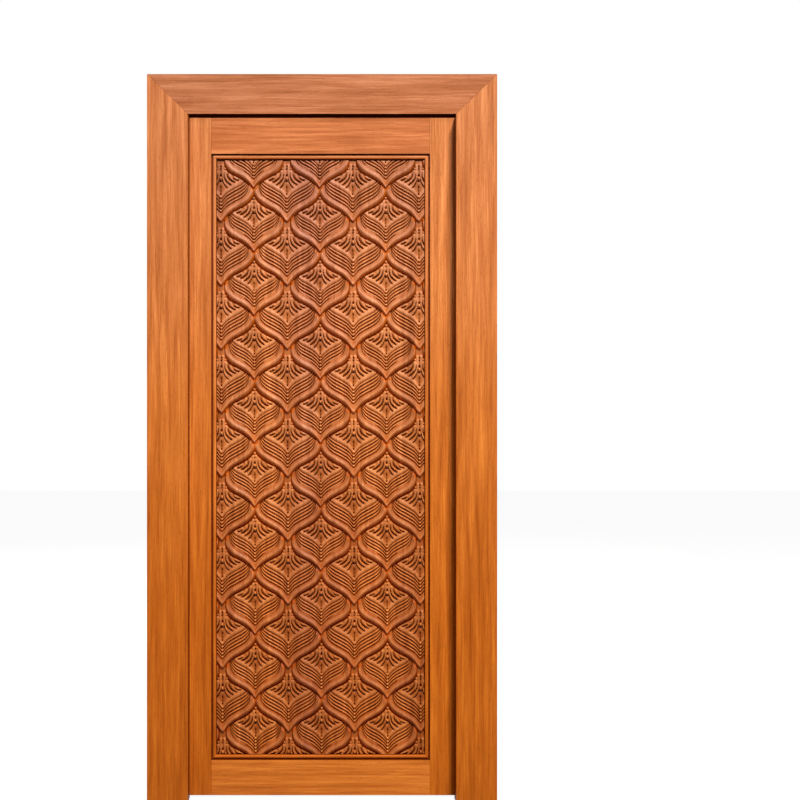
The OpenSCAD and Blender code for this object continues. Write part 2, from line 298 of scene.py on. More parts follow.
class Staves(Enum):
    """Tone of each stave of a glued-up board from left to right, as factors; a single board has none."""

    SINGLE = ()
    PANEL = ((0.96, 0.96, 0.96), (1.10, 1.12, 1.07), (0.86, 0.84, 0.97),
             (1.01, 1.00, 1.02), (1.07, 1.09, 1.04), (0.94, 0.94, 0.92))

    def stops(self) -> Stops:
        """Give each tone its place at the middle of its stave."""
        return tuple(((index + 0.5) / len(self.value), tone) for index, tone in enumerate(self.value))


class PaintedReliefLight(Enum):
    """Painted shade and highlight on carved teak: dark in the recesses, bright on the crests.

    The height in millimetres over which the painted shade rises to the painted highlight, its factors on the
    way up, and its factor of painted shade on steep slopes.
    """

    RIM = (12.8, (
        (0.0, (0.14, 0.045, 0.010)),
        (0.08, (0.44, 0.20, 0.03)),
        (0.24, (0.84, 0.58, 0.14)),
        (0.50, (1.02, 0.85, 0.48)),
        (0.70, (0.95, 0.80, 0.60)),
        (1.0, (1.25, 1.26, 1.44)),
    ), (1.06, 0.70, 0.035))
    RELIEF = (6.5, (
        (0.0, (0.12, 0.026, 0.008)),
        (0.34, (0.24, 0.085, 0.022)),
        (0.58, (0.76, 0.54, 0.24)),
        (0.76, (1.02, 0.88, 0.66)),
        (1.0, (1.30, 1.37, 1.50)),
    ), (1.0, 0.92, 0.72))
    BEAD = (5.0, (
        (0.0, (0.14, 0.045, 0.025)),
        (0.34, (0.34, 0.17, 0.10)),
        (0.60, (0.86, 0.74, 0.60)),
        (1.0, (1.08, 1.08, 1.08)),
    ), (1.0, 0.95, 0.85))


@dataclass(frozen=True)
class Layer:
    """One layer of the figure of a surface.

    Attributes:
        scale: Features per metre across the grain.
        detail: Octaves of its noise.
        rough: Strength of the finer octaves.
        warp: Distortion.
        stretch: Scale along the grain, beside 1 across it.
    """

    scale: float
    detail: float
    rough: float
    warp: float
    stretch: float

    def value(self, sheet: NodeSheet, shift: Place, grain: Grain) -> Socket:
        """Lay the layer out on a surface.

        Args:
            sheet: The sheet of its finish.
            shift: Shift in metres, such as where in the log a board was cut.
            grain: Which way its grain or brushing runs.

        Returns:
            The layer's value, from 0 to 1.
        """
        scale = [1.0, 1.0, 1.0]
        scale[grain.value] = self.stretch
        coords = sheet.place(shift, tuple(scale))
        node = sheet.add("TexNoise", {"Vector": coords, "Scale": self.scale, "Detail": self.detail,
                                      "Roughness": self.rough, "Distortion": self.warp})
        return node.outputs["Fac"]


BANDS = Layer(scale=55.0, detail=2.0, rough=0.5, warp=0.6, stretch=0.045)
STREAKS = Layer(scale=150.0, detail=4.0, rough=0.62, warp=0.5, stretch=0.045)
FIBRES = Layer(scale=360.0, detail=3.0, rough=0.6, warp=0.0, stretch=0.02)
PORES = Layer(scale=900.0, detail=1.0, rough=0.5, warp=0.0, stretch=0.06)
BAND_SHARE = 0.55
PLAIN_TEAK: Stops = (
    (0.32, (0.44, 0.135, 0.030)),
    (0.45, (0.60, 0.205, 0.050)),
    (0.54, (0.69, 0.250, 0.067)),
    (0.66, (0.86, 0.345, 0.100)),
)
DARK_FIBRE: Colour = (0.60, 0.43, 0.34)
OPEN_PORE: Colour = (0.20, 0.055, 0.012)
# Painted shade, as factors: on boards' sides and undersides, and on the carving's downward-facing slopes.
PAINTED_SIDE_SHADE: Colour = (0.37, 0.27, 0.025)
PAINTED_UNDERSIDE_SHADE: Colour = (0.16, 0.08, 0.05)
PAINTED_CARVED_UNDERSIDE_SHADE: Colour = (0.90, 0.80, 0.50)
# Heights over which the painted light and shade by height runs.
PAINTED_LIGHT_HEIGHTS: Span = (0.05, 2.15)
FIBRE_SHARE = 0.42
PORE_SHARE = 0.45
SATIN_ROUGHNESS: Span = (0.52, 0.40)
GRAIN_BUMP = 0.22
GRAIN_DEPTH = 0.5 * MM

# Spans of a layer's value over which it comes in.
FIBRE_SPAN: Span = (0.32, 0.68)
DARK_FIBRE_SPAN: Span = (0.62, 0.3)
PORE_SPAN: Span = (0.36, 0.28)

# Spans of the way a surface faces, from -1 to 1, over which its painted shade comes in; behind, the plain
# colour comes back.
SIDE_SPAN: Span = (0.75, 0.30)
UNDERSIDE_SPAN: Span = (-0.35, -0.90)
STEEP_SPAN: Span = (0.88, 0.66)
CARVED_UNDERSIDE_SPAN: Span = (-0.15, -0.85)
BACK_SPAN: Span = (0.3, 0.6)


@dataclass(frozen=True)
class TeakFinish:
    """Oiled and satin-varnished teak, with light and shade painted by height: paler with a painted sheen
    toward the top.

    Attributes:
        name: Name of the board it finishes.
        grain: Which way the grain runs.
        shift: Where in the log the board was cut, in metres.
        lift: Colour of this board beside the others, as factors.
        falloff: Painted light and shade by height, from the floor up.
        staves: How the colour changes across a glued-up board.
        half_width: Half width of that board in metres.
        ground: Y of the carved ground in metres, where the painted recess shade is darkest; None for flat
            boards.
        relief_light: How the painted shade and highlight lie above that ground.
        gloss: Specular level of the varnish.
        figure: Strength of the fibres and pores.
    """

    name: str
    grain: Grain
    shift: Place = (0.0, 0.0, 0.0)
    lift: Colour = (1.0, 1.0, 1.0)
    fade: PaintedHeightLight = PaintedHeightLight.BOARDS
    staves: Staves = Staves.SINGLE
    half_width: float = 0.32
    ground: float | None = None
    relief_light: PaintedReliefLight = PaintedReliefLight.RELIEF
    gloss: float = 0.28
    figure: float = 1.0

    def plain(self, sheet: FinishSheet) -> Socket:
        """Colour the wood by its bands and streaks, light and shade painted by its height on the door, and its
        staves.

        Args:
            sheet: The material's sheet.

        Returns:
            The colour without fibres and pores.
        """
        bands = sheet.math("MULTIPLY", BANDS.value(sheet, self.shift, self.grain), BAND_SHARE)
        streaks = sheet.math("MULTIPLY", STREAKS.value(sheet, self.shift, self.grain), 1 - BAND_SHARE)
        tone = sheet.math("ADD", bands, streaks)
        wood = sheet.ramp(tone, PLAIN_TEAK)
        # Painted light and shade by height: the colour is multiplied by the height ramp.
        height = sheet.spread(sheet.axis("Z"), *PAINTED_LIGHT_HEIGHTS, how="LINEAR")
        wood = sheet.mix("MULTIPLY", 1.0, wood, sheet.ramp(height, self.fade.value))
        if self.staves is Staves.SINGLE:
            return wood
        across = sheet.spread(sheet.axis("X"), -self.half_width, self.half_width, how="LINEAR")
        return sheet.mix("MULTIPLY", 1.0, wood, sheet.ramp(across, self.staves.stops()))

    def material(self) -> bpy.types.Material:
        """Make the material.

        Returns:
            The finished teak.
        """
        sheet = FinishSheet(f"teak_{self.name}")
        fibres = FIBRES.value(sheet, self.shift, self.grain)
        fibre = sheet.spread(fibres, *FIBRE_SPAN)
        dark_fibre = sheet.spread(fibres, *DARK_FIBRE_SPAN, 0.0, FIBRE_SHARE * self.figure)
        pore = sheet.spread(PORES.value(sheet, self.shift, self.grain), *PORE_SPAN)
        dark_pore = sheet.math("MULTIPLY", pore, PORE_SHARE * self.figure)
        wood = sheet.mix("MULTIPLY", dark_fibre, self.plain(sheet), DARK_FIBRE)
        wood = sheet.mix("MIX", dark_pore, wood, OPEN_PORE)
        wood = sheet.mix("MULTIPLY", 1.0, wood, self.lift)
        # Painted shade on the sides and undersides of flat boards, or in the recesses of carved ones with a
        # painted highlight on the crests.
        wood = self.paint_side_shade(sheet, wood) if self.ground is None else self.paint_relief_light(sheet, wood)
        sheet.show("Base Color", wood)
        sheet.show("Roughness", sheet.spread(fibre, 0.0, 1.0, *SATIN_ROUGHNESS))
        sheet.show("Specular IOR Level", self.gloss)
        relief = sheet.math("SUBTRACT", sheet.math("MULTIPLY", fibre, 0.5), pore)
        sheet.bump(relief, GRAIN_BUMP * self.figure, GRAIN_DEPTH)
        return sheet.material

    @staticmethod
    def paint_side_shade(sheet: FinishSheet, wood: Socket) -> Socket:
        """Paint shade on a board's narrow sides, and most of all on its underside.

        Args:
            sheet: The material's sheet.
            wood: Colour of the plain wood.

        Returns:
            The shaded colour.
        """
        side = sheet.spread(sheet.math("ABSOLUTE", sheet.facing("Y")), *SIDE_SPAN)
        wood = sheet.mix("MULTIPLY", side, wood, PAINTED_SIDE_SHADE)
        under = sheet.spread(sheet.facing("Z"), *UNDERSIDE_SPAN)
        return sheet.mix("MULTIPLY", under, wood, PAINTED_UNDERSIDE_SHADE)

    def paint_relief_light(self, sheet: FinishSheet, wood: Socket) -> Socket:
        """Paint shade into the carved recesses, onto steep and downward-facing slopes, and a painted highlight
        onto the crests.

        The back of a carved board keeps its plain colour.

        Args:
            sheet: The material's sheet.
            wood: Colour of the plain wood.

        Returns:
            The colour with painted shade and highlight.
        """
        # Painted shade rising from the carved ground to a painted highlight on top.
        high, stops, slope = self.relief_light.value
        rise = sheet.spread(sheet.axis("Y"), self.ground, self.ground - high * MM, how="LINEAR")
        dark = sheet.mix("MULTIPLY", 1.0, wood, sheet.ramp(rise, stops))
        # Painted shade on steep slopes and on slopes that face downward.
        steep = sheet.spread(sheet.math("ABSOLUTE", sheet.facing("Y")), *STEEP_SPAN)
        dark = sheet.mix("MULTIPLY", steep, dark, slope)
        under = sheet.spread(sheet.facing("Z"), *CARVED_UNDERSIDE_SPAN)
        dark = sheet.mix("MULTIPLY", under, dark, PAINTED_CARVED_UNDERSIDE_SHADE)
        behind = sheet.spread(sheet.facing("Y"), *BACK_SPAN)
        return sheet.mix("MIX", behind, dark, wood)


CLOUDS = Layer(scale=60.0, detail=5.0, rough=0.65, warp=0.4, stretch=1.0)
BRUSHING = Layer(scale=1800.0, detail=2.0, rough=0.55, warp=0.0, stretch=0.04)
TARNISH_SPAN: Span = (0.38, 0.70)
BRUSH_BUMP = 0.12
BRUSH_DEPTH = 0.2 * MM
UNMOVED: Place = (0.0, 0.0, 0.0)


@dataclass(frozen=True)
class MetalFinish:
    """A satin metal with faint brushing and tarnish.

    Attributes:
        name: Name of the metal.
        bright: Colour of the clean metal.
        dull: Colour of the tarnish.
        rough: Roughness of the clean metal.
        tarnish_rough: How much rougher the tarnish is.
    """

    name: str
    bright: Colour
    dull: Colour
    rough: float = 0.28
    tarnish_rough: float = 0.22

    def material(self) -> bpy.types.Material:
        """Make the material.

        Returns:
            The finished metal.
        """
        sheet = FinishSheet(f"metal_{self.name}")
        cloud = sheet.spread(CLOUDS.value(sheet, UNMOVED, Grain.UPRIGHT), *TARNISH_SPAN)
        brushed = BRUSHING.value(sheet, UNMOVED, Grain.UPRIGHT)
        sheet.show("Base Color", sheet.mix("MIX", cloud, self.bright, self.dull))
        sheet.show("Metallic", 1.0)
        sheet.show("Roughness", sheet.spread(cloud, 0.0, 1.0, self.rough, self.rough + self.tarnish_rough))
        sheet.bump(brushed, BRUSH_BUMP, BRUSH_DEPTH)
        return sheet.material


BRASS = MetalFinish("brass", (0.80, 0.58, 0.24), (0.46, 0.30, 0.11))
STEEL = MetalFinish("steel", (0.66, 0.64, 0.60), (0.42, 0.39, 0.35), 0.34)


@dataclass(frozen=True)
class CarvedLine:
    """A smooth line through a few drawn points, across and up from a motif's tip."""

    points: Points

    def smooth(self, steps: int = 14) -> np.ndarray:
        """Draw the line through its points.

        Args:
            steps: Short steps between two drawn points.

        Returns:
            Points along the line, one row each.
        """
        drawn = np.array(self.points, float)
        padded = np.vstack([2 * drawn[0] - drawn[1], drawn, 2 * drawn[-1] - drawn[-2]])
        part = np.linspace(0, 1, steps, endpoint=False)[:, None]
        runs = []
        for before, start, end, after in zip(padded, padded[1:], padded[2:], padded[3:]):
            runs.append(0.5 * (2 * start + (end - before) * part
                               + (2 * before - 5 * start + 4 * end - after) * part**2
                               + (3 * start - before - 3 * end + after) * part**3))
        return np.vstack([*runs, drawn[-1:]])

    def walk(self, count: int, upto: float = 1.0) -> np.ndarray:
        """Give evenly spaced points along the line.

        Args:
            count: Number of points.
            upto: Share of the length to cover.

        Returns:
            The points, one row each.
        """
        line = self.smooth()
        gone = np.concatenate([[0], np.cumsum(np.hypot(*np.diff(line, axis=0).T))])
        stops = np.linspace(0, gone[-1] * upto, count)
        return np.column_stack([np.interp(stops, gone, line[:, i]) for i in (0, 1)])

    def length(self) -> float:
        """Length of the line in millimetres."""
        return float(np.hypot(*np.diff(self.smooth(), axis=0).T).sum())

    def up_at(self, across: np.ndarray) -> np.ndarray:
        """Height of the line over given distances across."""
        line = self.smooth()
        return np.interp(across, np.maximum.accumulate(line[:, 0]), line[:, 1])


@dataclass(frozen=True)
class Bead:
    """A small round boss of the carving: its place from the tip, and its half sizes."""

    across: float
    up: float
    half_w: float
    half_h: float
    high: float


@dataclass(frozen=True)
class Slit:
    """A slit sunk into a palmette.

    Attributes:
        line: Its middle line, from the thin end down.
        thin: Half width of the thin end.
        wide: Half width of the lower end.
        flare: Share of its length over which it widens.
        stations: Points along its middle line.
        end_turns: Turns of the points round its lower end, in radians.
    """

    line: CarvedLine
    thin: float = 0.35
    wide: float = 1.4
    flare: float = 0.7
    stations: int = 11
    end_turns: tuple[float, ...] = (0.7, 1.57, 2.44)

    def outline(self, side: int) -> np.ndarray:
        """Draw the slit, round at its lower end.

        Args:
            side: 1 for the right half of the motif, -1 for the left.

        Returns:
            Its outline, one point a row.
        """
        path = self.line.walk(self.stations)
        tangent = np.gradient(path, axis=0)
        tangent /= np.hypot(*tangent.T)[:, None]
        normal = np.column_stack([-tangent[:, 1], tangent[:, 0]])
        gone = np.clip(np.linspace(0, 1, len(path)) / self.flare, 0, 1)
        half = (self.thin + (self.wide - self.thin) * gone)[:, None]
        round_end = [path[-1] + self.wide * (math.cos(a) * normal[-1] + math.sin(a) * tangent[-1])
                     for a in self.end_turns]
        drawn = np.vstack([path + normal * half, round_end, (path - normal * half)[::-1]])
        return drawn * np.array([side, 1.0])


@dataclass(frozen=True)
class Motif:
    """One leaf of the pattern, drawn from its own tip; the left half mirrors the right.

    Attributes:
        name: The kind of tip.
        foot: Outer lower edge of the rim.
        crest: Top line of the rim.
        groove: Inner edge of the rim, where the reeds start.
        reed_pitch: Height from one reed to the next.
        slits: Slits between the palmette's petals.
        petals: Middle lines of the petals, from their round tips down.
        beads: Bosses of the palmette.
        holes: Round holes on the middle line of the palmette, sunk to the ground.
        cover_rise: Height of the covering neighbour's tip above this one.
        edge_high: Height of the groove between rim and reeds halfway along each side.
    """

    name: str
    foot: CarvedLine
    crest: CarvedLine
    groove: CarvedLine
    reed_pitch: float
    slits: tuple[Slit, ...]
    petals: tuple[CarvedLine, ...]
    beads: tuple[Bead, ...]
    holes: tuple[Bead, ...]
    cover_rise: float
    edge_high: float


POINTED = Motif(
    name="pointed",
    foot=CarvedLine(((0, 0), (7, 5.2), (15, 12.6), (25, 20.4), (35, 26.6), (45, 32.4), (55, 37.8), (65, 42.4),
                     (74, 47.8), (80.4, 54.4), (85.4, 61.6), (88.6, 70), (90, 79), (90.5, 88), (90.5, 98))),
    crest=CarvedLine(((0, 3.5), (4.2, 11.2), (12, 22.6), (20.6, 31.4), (29.8, 37.6), (40.7, 43.1),
                      (52, 49.6), (61.7, 55.9), (70.3, 63.2), (78.9, 70.8), (84.2, 78.5), (86.2, 88),
                      (86.8, 95.7), (87, 105))),
    groove=CarvedLine(((0, 27.4), (5.6, 32), (12.4, 39.8), (20.4, 46.6), (29.2, 52.6), (38.8, 57.8),
                       (49.3, 63.2), (58.9, 69.2), (65.5, 75.6), (69.9, 82.4), (73.2, 90.9), (75.1, 97),
                       (76.5, 104), (77.3, 114))),
    reed_pitch=9.8,
    slits=(
        Slit(CarvedLine(((4.4, 124), (5.8, 116.5), (10, 108.5), (14.6, 101), (19, 96.6)))),
        Slit(CarvedLine(((9.6, 138), (9.8, 131), (11, 125), (14.8, 117.6), (19.8, 112.8), (25, 108.6),
                         (30, 105)))),
        Slit(CarvedLine(((19.2, 136), (19.4, 131.6), (21.2, 127), (25.2, 122.6), (30, 118.6), (35, 115.4),
                         (40.6, 113.6)))),
        Slit(CarvedLine(((36.5, 124.4), (39.4, 121.8), (44.8, 119.4), (51, 117.8)))),
    ),
    petals=(
        CarvedLine(((5.4, 153), (5.2, 143), (5.6, 132), (8.2, 120), (13, 110), (19, 102), (23, 98))),
        CarvedLine(((13.6, 143.5), (13.6, 135), (15.8, 126), (20.8, 118.4), (28, 112.2), (34, 108.4))),
        CarvedLine(((26.2, 134.4), (28, 129.6), (33, 123.8), (40, 118.6), (46, 115.8))),
        CarvedLine(((40.4, 127.4), (46, 124.2), (53, 121.2), (60, 118.4))),
    ),
    beads=(Bead(0, 163.2, 3.8, 4.4, 10.6), Bead(0, 155.4, 2.6, 2.8, 8.6), Bead(0, 125.8, 3.6, 5.4, 11.2),
           Bead(0, 108.5, 1.7, 4.6, 7.0)),
    holes=(Bead(0, 149.6, 1.8, 2.0, 0), Bead(0, 134, 2.6, 3.0, 0), Bead(0, 117.6, 4.4, 2.0, 0),
           Bead(0, 98.6, 1.5, 3.6, 0), Bead(0, 88.2, 0.6, 4.4, 0), Bead(0, 79, 2.2, 2.8, 0)),
    cover_rise=89.0,
    edge_high=6.6,
)

OPEN = Motif(
    name="open",
    foot=CarvedLine(((6.4, 0), (12, 9.6), (20, 18), (28, 25.6), (36, 31.6), (44, 36.6), (52, 40.4),
                     (61, 44.8), (70, 50.2), (78, 55.6), (86, 62.4), (93.8, 71.4), (99.9, 81), (104.5, 90),
                     (107, 99), (108, 111))),
    crest=CarvedLine(((0, 6), (5, 12.2), (15.8, 28), (28, 39.7), (43.3, 48.8), (57, 57.6), (70.8, 66.4),
                      (81.5, 74.4), (89.2, 84.6), (93.8, 97.9), (95.5, 106), (96, 116))),
    groove=CarvedLine(((0, 29.4), (6, 35), (10, 40), (15, 45.6), (20, 49.8), (30, 56), (40, 61.8), (50, 67.2),
                       (60, 72.8), (70, 80.2), (76, 87), (80, 93.4), (82.6, 102), (83.6, 110), (84, 120))),
    reed_pitch=10.35,
    slits=(
        Slit(CarvedLine(((4.8, 134), (6.2, 125), (10, 117.6), (14.6, 110), (20, 105)))),
        Slit(CarvedLine(((9.8, 148), (9.6, 142), (10.8, 136), (14.8, 127.4), (19.8, 122.2), (25, 118),
                         (30.4, 113.6)))),
        Slit(CarvedLine(((19.4, 146), (19.6, 141.4), (21.4, 136.6), (25.2, 131.8), (30, 128.2), (35, 125),
                         (41, 122.4)))),
        Slit(CarvedLine(((37.6, 133.6), (40.8, 131.2), (45.8, 129), (52, 127.8)))),
    ),
    petals=(
        CarvedLine(((5.4, 172), (5.4, 160), (5.6, 147), (6.6, 136), (10, 124), (15.6, 114), (22, 108))),
        CarvedLine(((14.4, 154.4), (13.6, 146), (15.4, 136.4), (20.6, 128), (28, 121), (35, 117))),
        CarvedLine(((27.4, 144.6), (29, 138.8), (34, 132), (41, 126.8), (48, 124.4))),
        CarvedLine(((42, 137.6), (47.6, 134.2), (54, 131.6), (62, 129))),
    ),
    beads=(Bead(0, 134, 3.8, 6.0, 11.2), Bead(12.6, 163, 3.2, 3.8, 9.4), Bead(-12.6, 163, 3.2, 3.8, 9.4),
           Bead(0, 117, 1.8, 5.4, 7.0)),
    holes=(Bead(0, 170, 1.9, 3.2, 0), Bead(0, 162, 1.7, 2.8, 0), Bead(0, 143.4, 2.6, 3.2, 0),
           Bead(0, 125.4, 4.6, 2.0, 0), Bead(0, 107.4, 1.6, 3.6, 0), Bead(0, 97.4, 0.6, 4.6, 0),
           Bead(0, 86.6, 2.2, 2.8, 0)),
    cover_rise=103.0,
    edge_high=1.0,
)


class Stock:
    """Closed lumps of one finish, gathered into one piece."""

    def __init__(self) -> None:
        """Start with nothing gathered."""
        self.points: list[np.ndarray] = []
        self.faces: list[list[int]] = []
        self.count = 0

    def add(self, points: np.ndarray, faces: list[list[int]]) -> None:
        """Add a closed lump.

        Args:
            points: Its points in metres.
            faces: Its faces, as indices into those points.
        """
        self.points.append(points)
        self.faces.extend([i + self.count for i in face] for face in faces)
        self.count += len(points)

    def sweep(self, sections: np.ndarray) -> None:
        """Add a closed lump through sections of equal point count, capped at both ends.

        Args:
            sections: Points in metres, as sections by points by three.
        """
        number, ring = sections.shape[:2]
        faces = []
        for i in range(number - 1):
            low, high = i * ring, (i + 1) * ring
            for j in range(ring):
                k = (j + 1) % ring
                faces.append([low + j, low + k, high + k, high + j])
        faces.append(list(range(ring - 1, -1, -1)))
        faces.append(list(range((number - 1) * ring, number * ring)))
        self.add(sections.reshape(-1, 3), faces)

    def piece(self, name: str, finish: bpy.types.Material, body: str, slot: str,
              clip: Limits | None = None, crease: float = 42.0) -> bpy.types.Object:
        """Make the gathered lumps into one object.

        Args:
            name: Name of the piece.
            finish: Its material.
            body: The body that it moves with.
            slot: Not used.
            clip: X and Z limits in metres that the lumps are cut to and closed at.
            crease: Angle in degrees from which an edge stays sharp.

        Returns:
            The new object.
        """
        mesh = bpy.data.meshes.new(name)
        mesh.from_pydata(np.vstack(self.points), [], self.faces)
        shape = bmesh.new()
        shape.from_mesh(mesh)
        if clip is not None:
            self.trim(shape, clip)
        bmesh.ops.recalc_face_normals(shape, faces=shape.faces)
        for each in shape.faces:
            each.smooth = True
        shape.to_mesh(mesh)
        shape.free()
        mesh.set_sharp_from_angle(angle=math.radians(crease))
        mesh.materials.append(finish)
        made = bpy.data.objects.new(name, mesh)
        bpy.context.scene.collection.objects.link(made)
        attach(made, body)
        triangles = sum(len(face.vertices) - 2 for face in mesh.polygons)
        log.info("%s: %d triangles on %s", name, triangles, body)
        return made

    @staticmethod
    def trim(shape: bmesh.types.BMesh, clip: Limits) -> None:
        """Cut the lumps to upright and level limits and close the cuts.

        Args:
            shape: The lumps.
            clip: X and Z limits in metres.
        """
        for axis, limits in ((0, clip[0]), (2, clip[1])):
            for limit, sign in zip(limits, (-1, 1)):
                at = Vector((0, 0, 0))
                at[axis] = limit
                outward = Vector((0, 0, 0))
                outward[axis] = sign
                everything = [*shape.verts, *shape.edges, *shape.faces]
                bmesh.ops.bisect_plane(shape, geom=everything, dist=1e-7, plane_co=at, plane_no=outward,
                                       clear_outer=True)
                open_edges = [e for e in shape.edges if e.is_boundary]
                bmesh.ops.holes_fill(shape, edges=open_edges, sides=0)


@dataclass
class CarvedPanel:
    """The carved panel: a glued-up board with rims, reeds, petals and bosses standing on its ground.

    Sizes are in millimetres; the field's place is read from the CAD nodes.

    Attributes:
        column_pitch: Distance from one column of tips to the next.
        row_pitch: Distance from one row of a motif to the next.
        top_tip: Height of the topmost whole row of pointed tips.
        centre: Place of the middle column across, at the height where the lean starts.
        lean: Slope of the columns.
        lean_from: Height where the lean starts.
        rows: Rows of each motif.
        half_columns: Columns on each side of the middle one.
        staves: Staves of the board.
        stave_chamfer: Chamfer along the staves' back edges.
        field_room: Gap between the carving and the beads at the sides and below.
        top_room: The same gap at the top.
        root: Height at which the relief ends, below the ground.
        reed_count: Reeds of each motif.
        reed_overrun: How far a reed runs under the covering rim.
        reed_step: Length of a reed from one section to the next.
        reed_sections_least: Least number of those sections.
        groove_steps: Points at which the groove is searched for a reed's end.
        reed_dip: Share of its height that a reed keeps beside the pearls.
        pearl_room: Distances from the middle line where that dip ends and starts.
        cover_dip: Distance over which relief dips under the covering rim.
        cover_least: Share of its height that it keeps there.
        cover_gap: Gap between a palmette and the covering rim.
        plate_high: Height of a palmette's plate.
        plate_floor: Least height of its surface.
        plate_reach: How far it can reach from its middle.
        neck_stations: Distances from its middle at which its neck is drawn.
        flank_from: Distance from which its flanks are drawn.
        flank_stations: Points along each flank.
        hole_sides: Points round each of its holes.
        plate_least: Least height of its outline from foot to cover.
        plate_step: Distance between the points of its surface.
        plate_rows: Distance between their rows, as a share of that.
        plate_clear: Least distance of those points from its edges.
        plate_roll: Width of the rolled edges of its cuts.
        roll_drop: Drop of those edges.
        petal_w: Width of a petal.
        petal_waist: Share of that width which its lower end keeps.
        petal_taper: Share of its length over which it narrows.
        petal_steps: Points along its middle line.
        petal_high: Height of a petal's tip.
        petal_fall: Share of its dome that it loses toward its lower end.
        pearl: A pearl of the middle line, at no height yet.
        pearl_at: Place of a pearl between two reeds, as a share of their pitch.
        spine_w: Half width of the rib under the pearls.
        spine_high: Height of that rib.
        boss_sides: Points round a boss.
        neck_top: Highest point of a palmette above its tip.
        crease: Depth of the crease at a rim's tip.
        crease_w: Half width of that crease.
        crest_at: Place of the crest across a rim, as a share of its width.
        lip_at: Place of its inner lip, beyond which the crease ends.
        filled_from: Place from which the groove beside the rim is filled.
        edge_rise: Distance from the middle where that filling starts, and its run.
        edge_fall: Distance from the middle where it ends, and its run.
        fill_fade: Start and slope of its fade across the first reed.
        rim_profile: Heights across a rim, by share of its width.
        reed_profile: Heights across a reed, by share of its pitch.
        groove_floors: Heights of the grooves below, between and above the reeds.
        border_profile: Heights of a palmette's border, by distance from its foot.
        boss_profile: Shares of a boss's half width, and of its height, from the ground up.
        ground: Y of the carved ground in metres.
        limits: X and Z limits of the carved field in metres.
        board_box: Corners of the CAD panel in metres.
    """

    column_pitch: float = 99.4
    row_pitch: float = 192.0
    top_tip: float = 1831.8
    centre: float = -4.6
    lean: float = -0.0035
    lean_from: float = 1024.0
    rows: int = 10
    half_columns: int = 4
    staves: int = 6
    stave_chamfer: float = 0.35
    field_room: float = 1.6
    top_room: float = 4.16
    root: float = -1.0
    reed_count: int = 4
    reed_overrun: float = 4.0
    reed_step: float = 4.6
    reed_sections_least: int = 9
    groove_steps: int = 120
    reed_dip: float = 0.66
    pearl_room: Span = (3.0, 9.0)
    cover_dip: float = 9.0
    cover_least: float = 0.3
    cover_gap: float = 1.6
    plate_high: float = 4.6
    plate_floor: float = 1.5
    plate_reach: float = 72.0
    neck_stations: tuple[float, ...] = (0.0, 2.0, 4.0, 6.0)
    flank_from: float = 8.4
    flank_stations: int = 26
    hole_sides: int = 10
    plate_least: float = 3.0
    plate_step: float = 3.2
    plate_rows: float = 0.87
    plate_clear: float = 1.3
    plate_roll: float = 2.4
    roll_drop: float = 1.6
    petal_w: float = 10.4
    petal_waist: float = 0.66
    petal_taper: float = 0.35
    petal_steps: int = 30
    petal_high: float = 10.4
    petal_fall: float = 0.75
    pearl: Bead = Bead(0.0, 0.0, 4.4, 4.1, 11.4)
    pearl_at: float = 0.64
    spine_w: float = 2.2
    spine_high: float = 5.6
    boss_sides: int = 12
    neck_top: float = 200.0
    crease: float = 2.6
    crease_w: float = 4.5
    crest_at: float = 0.43
    lip_at: float = 0.97
    filled_from: float = 0.9
    edge_rise: Span = (18.0, 16.0)
    edge_fall: Span = (72.0, 14.0)
    fill_fade: Span = (1.3, 1.5)
    rim_profile: Points = ((0, 0), (0.03, 2.1), (0.10, 5.0), (0.20, 8.3), (0.30, 10.7), (0.38, 12.0),
                           (0.45, 12.6), (0.51, 12.7), (0.58, 12.1), (0.68, 10.6), (0.78, 9.4),
                           (0.87, 8.9), (0.95, 9.0), (0.98, 6), (1, 1))
    reed_profile: Points = ((0, 0.4), (0.06, 0.8), (0.16, 4.4), (0.30, 7.2), (0.48, 8.1), (0.66, 7.5),
                            (0.84, 4.9), (0.94, 0.8), (1, 0.4))
    groove_floors: tuple[float, ...] = (0.4, 0.8, 3.2, 0.8, 0.4)
    border_profile: Points = ((0, 3.2), (2, 6.2), (4.6, 7.9), (8, 8.2), (12, 7.0), (18, 5.0), (24, 4.6))
    boss_profile: Points = ((1.0, 0.0), (0.96, 0.35), (0.82, 0.64), (0.60, 0.84), (0.32, 0.96), (0.08, 1.0))
    ground: float = field(init=False)
    limits: Limits = field(init=False)
    board_box: tuple[Vector, Vector] = field(init=False)

    def __post_init__(self) -> None:
        """Read the ground, the carved field and the board from the CAD nodes."""
        left, right, low, top = (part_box(f"front_bead_{side}") for side in ("left", "right", "bottom", "top"))
        room = self.field_room * MM
        self.ground = left[1].y
        self.limits = ((left[1].x + room, right[0].x - room),
                       (low[1].z + room, top[0].z - self.top_room * MM))
        self.board_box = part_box("carved_panel")

    def lift(self, across: np.ndarray, up: np.ndarray, high: np.ndarray) -> np.ndarray:
        """Turn places on the field and heights above its ground, in millimetres, into points in metres."""
        return np.stack([across * MM, self.ground - high * MM, up * MM], axis=-1)

    def cover(self, motif: Motif, across: np.ndarray) -> np.ndarray:
        """Height, over the motif's tip, of the neighbour's rim that covers it.

        Args:
            motif: The motif that is covered.
            across: Distances from its middle.

        Returns:
            Heights of the covering foot line.
        """
        other = OPEN if motif is POINTED else POINTED
        return motif.cover_rise + other.foot.up_at(self.column_pitch - np.abs(across))

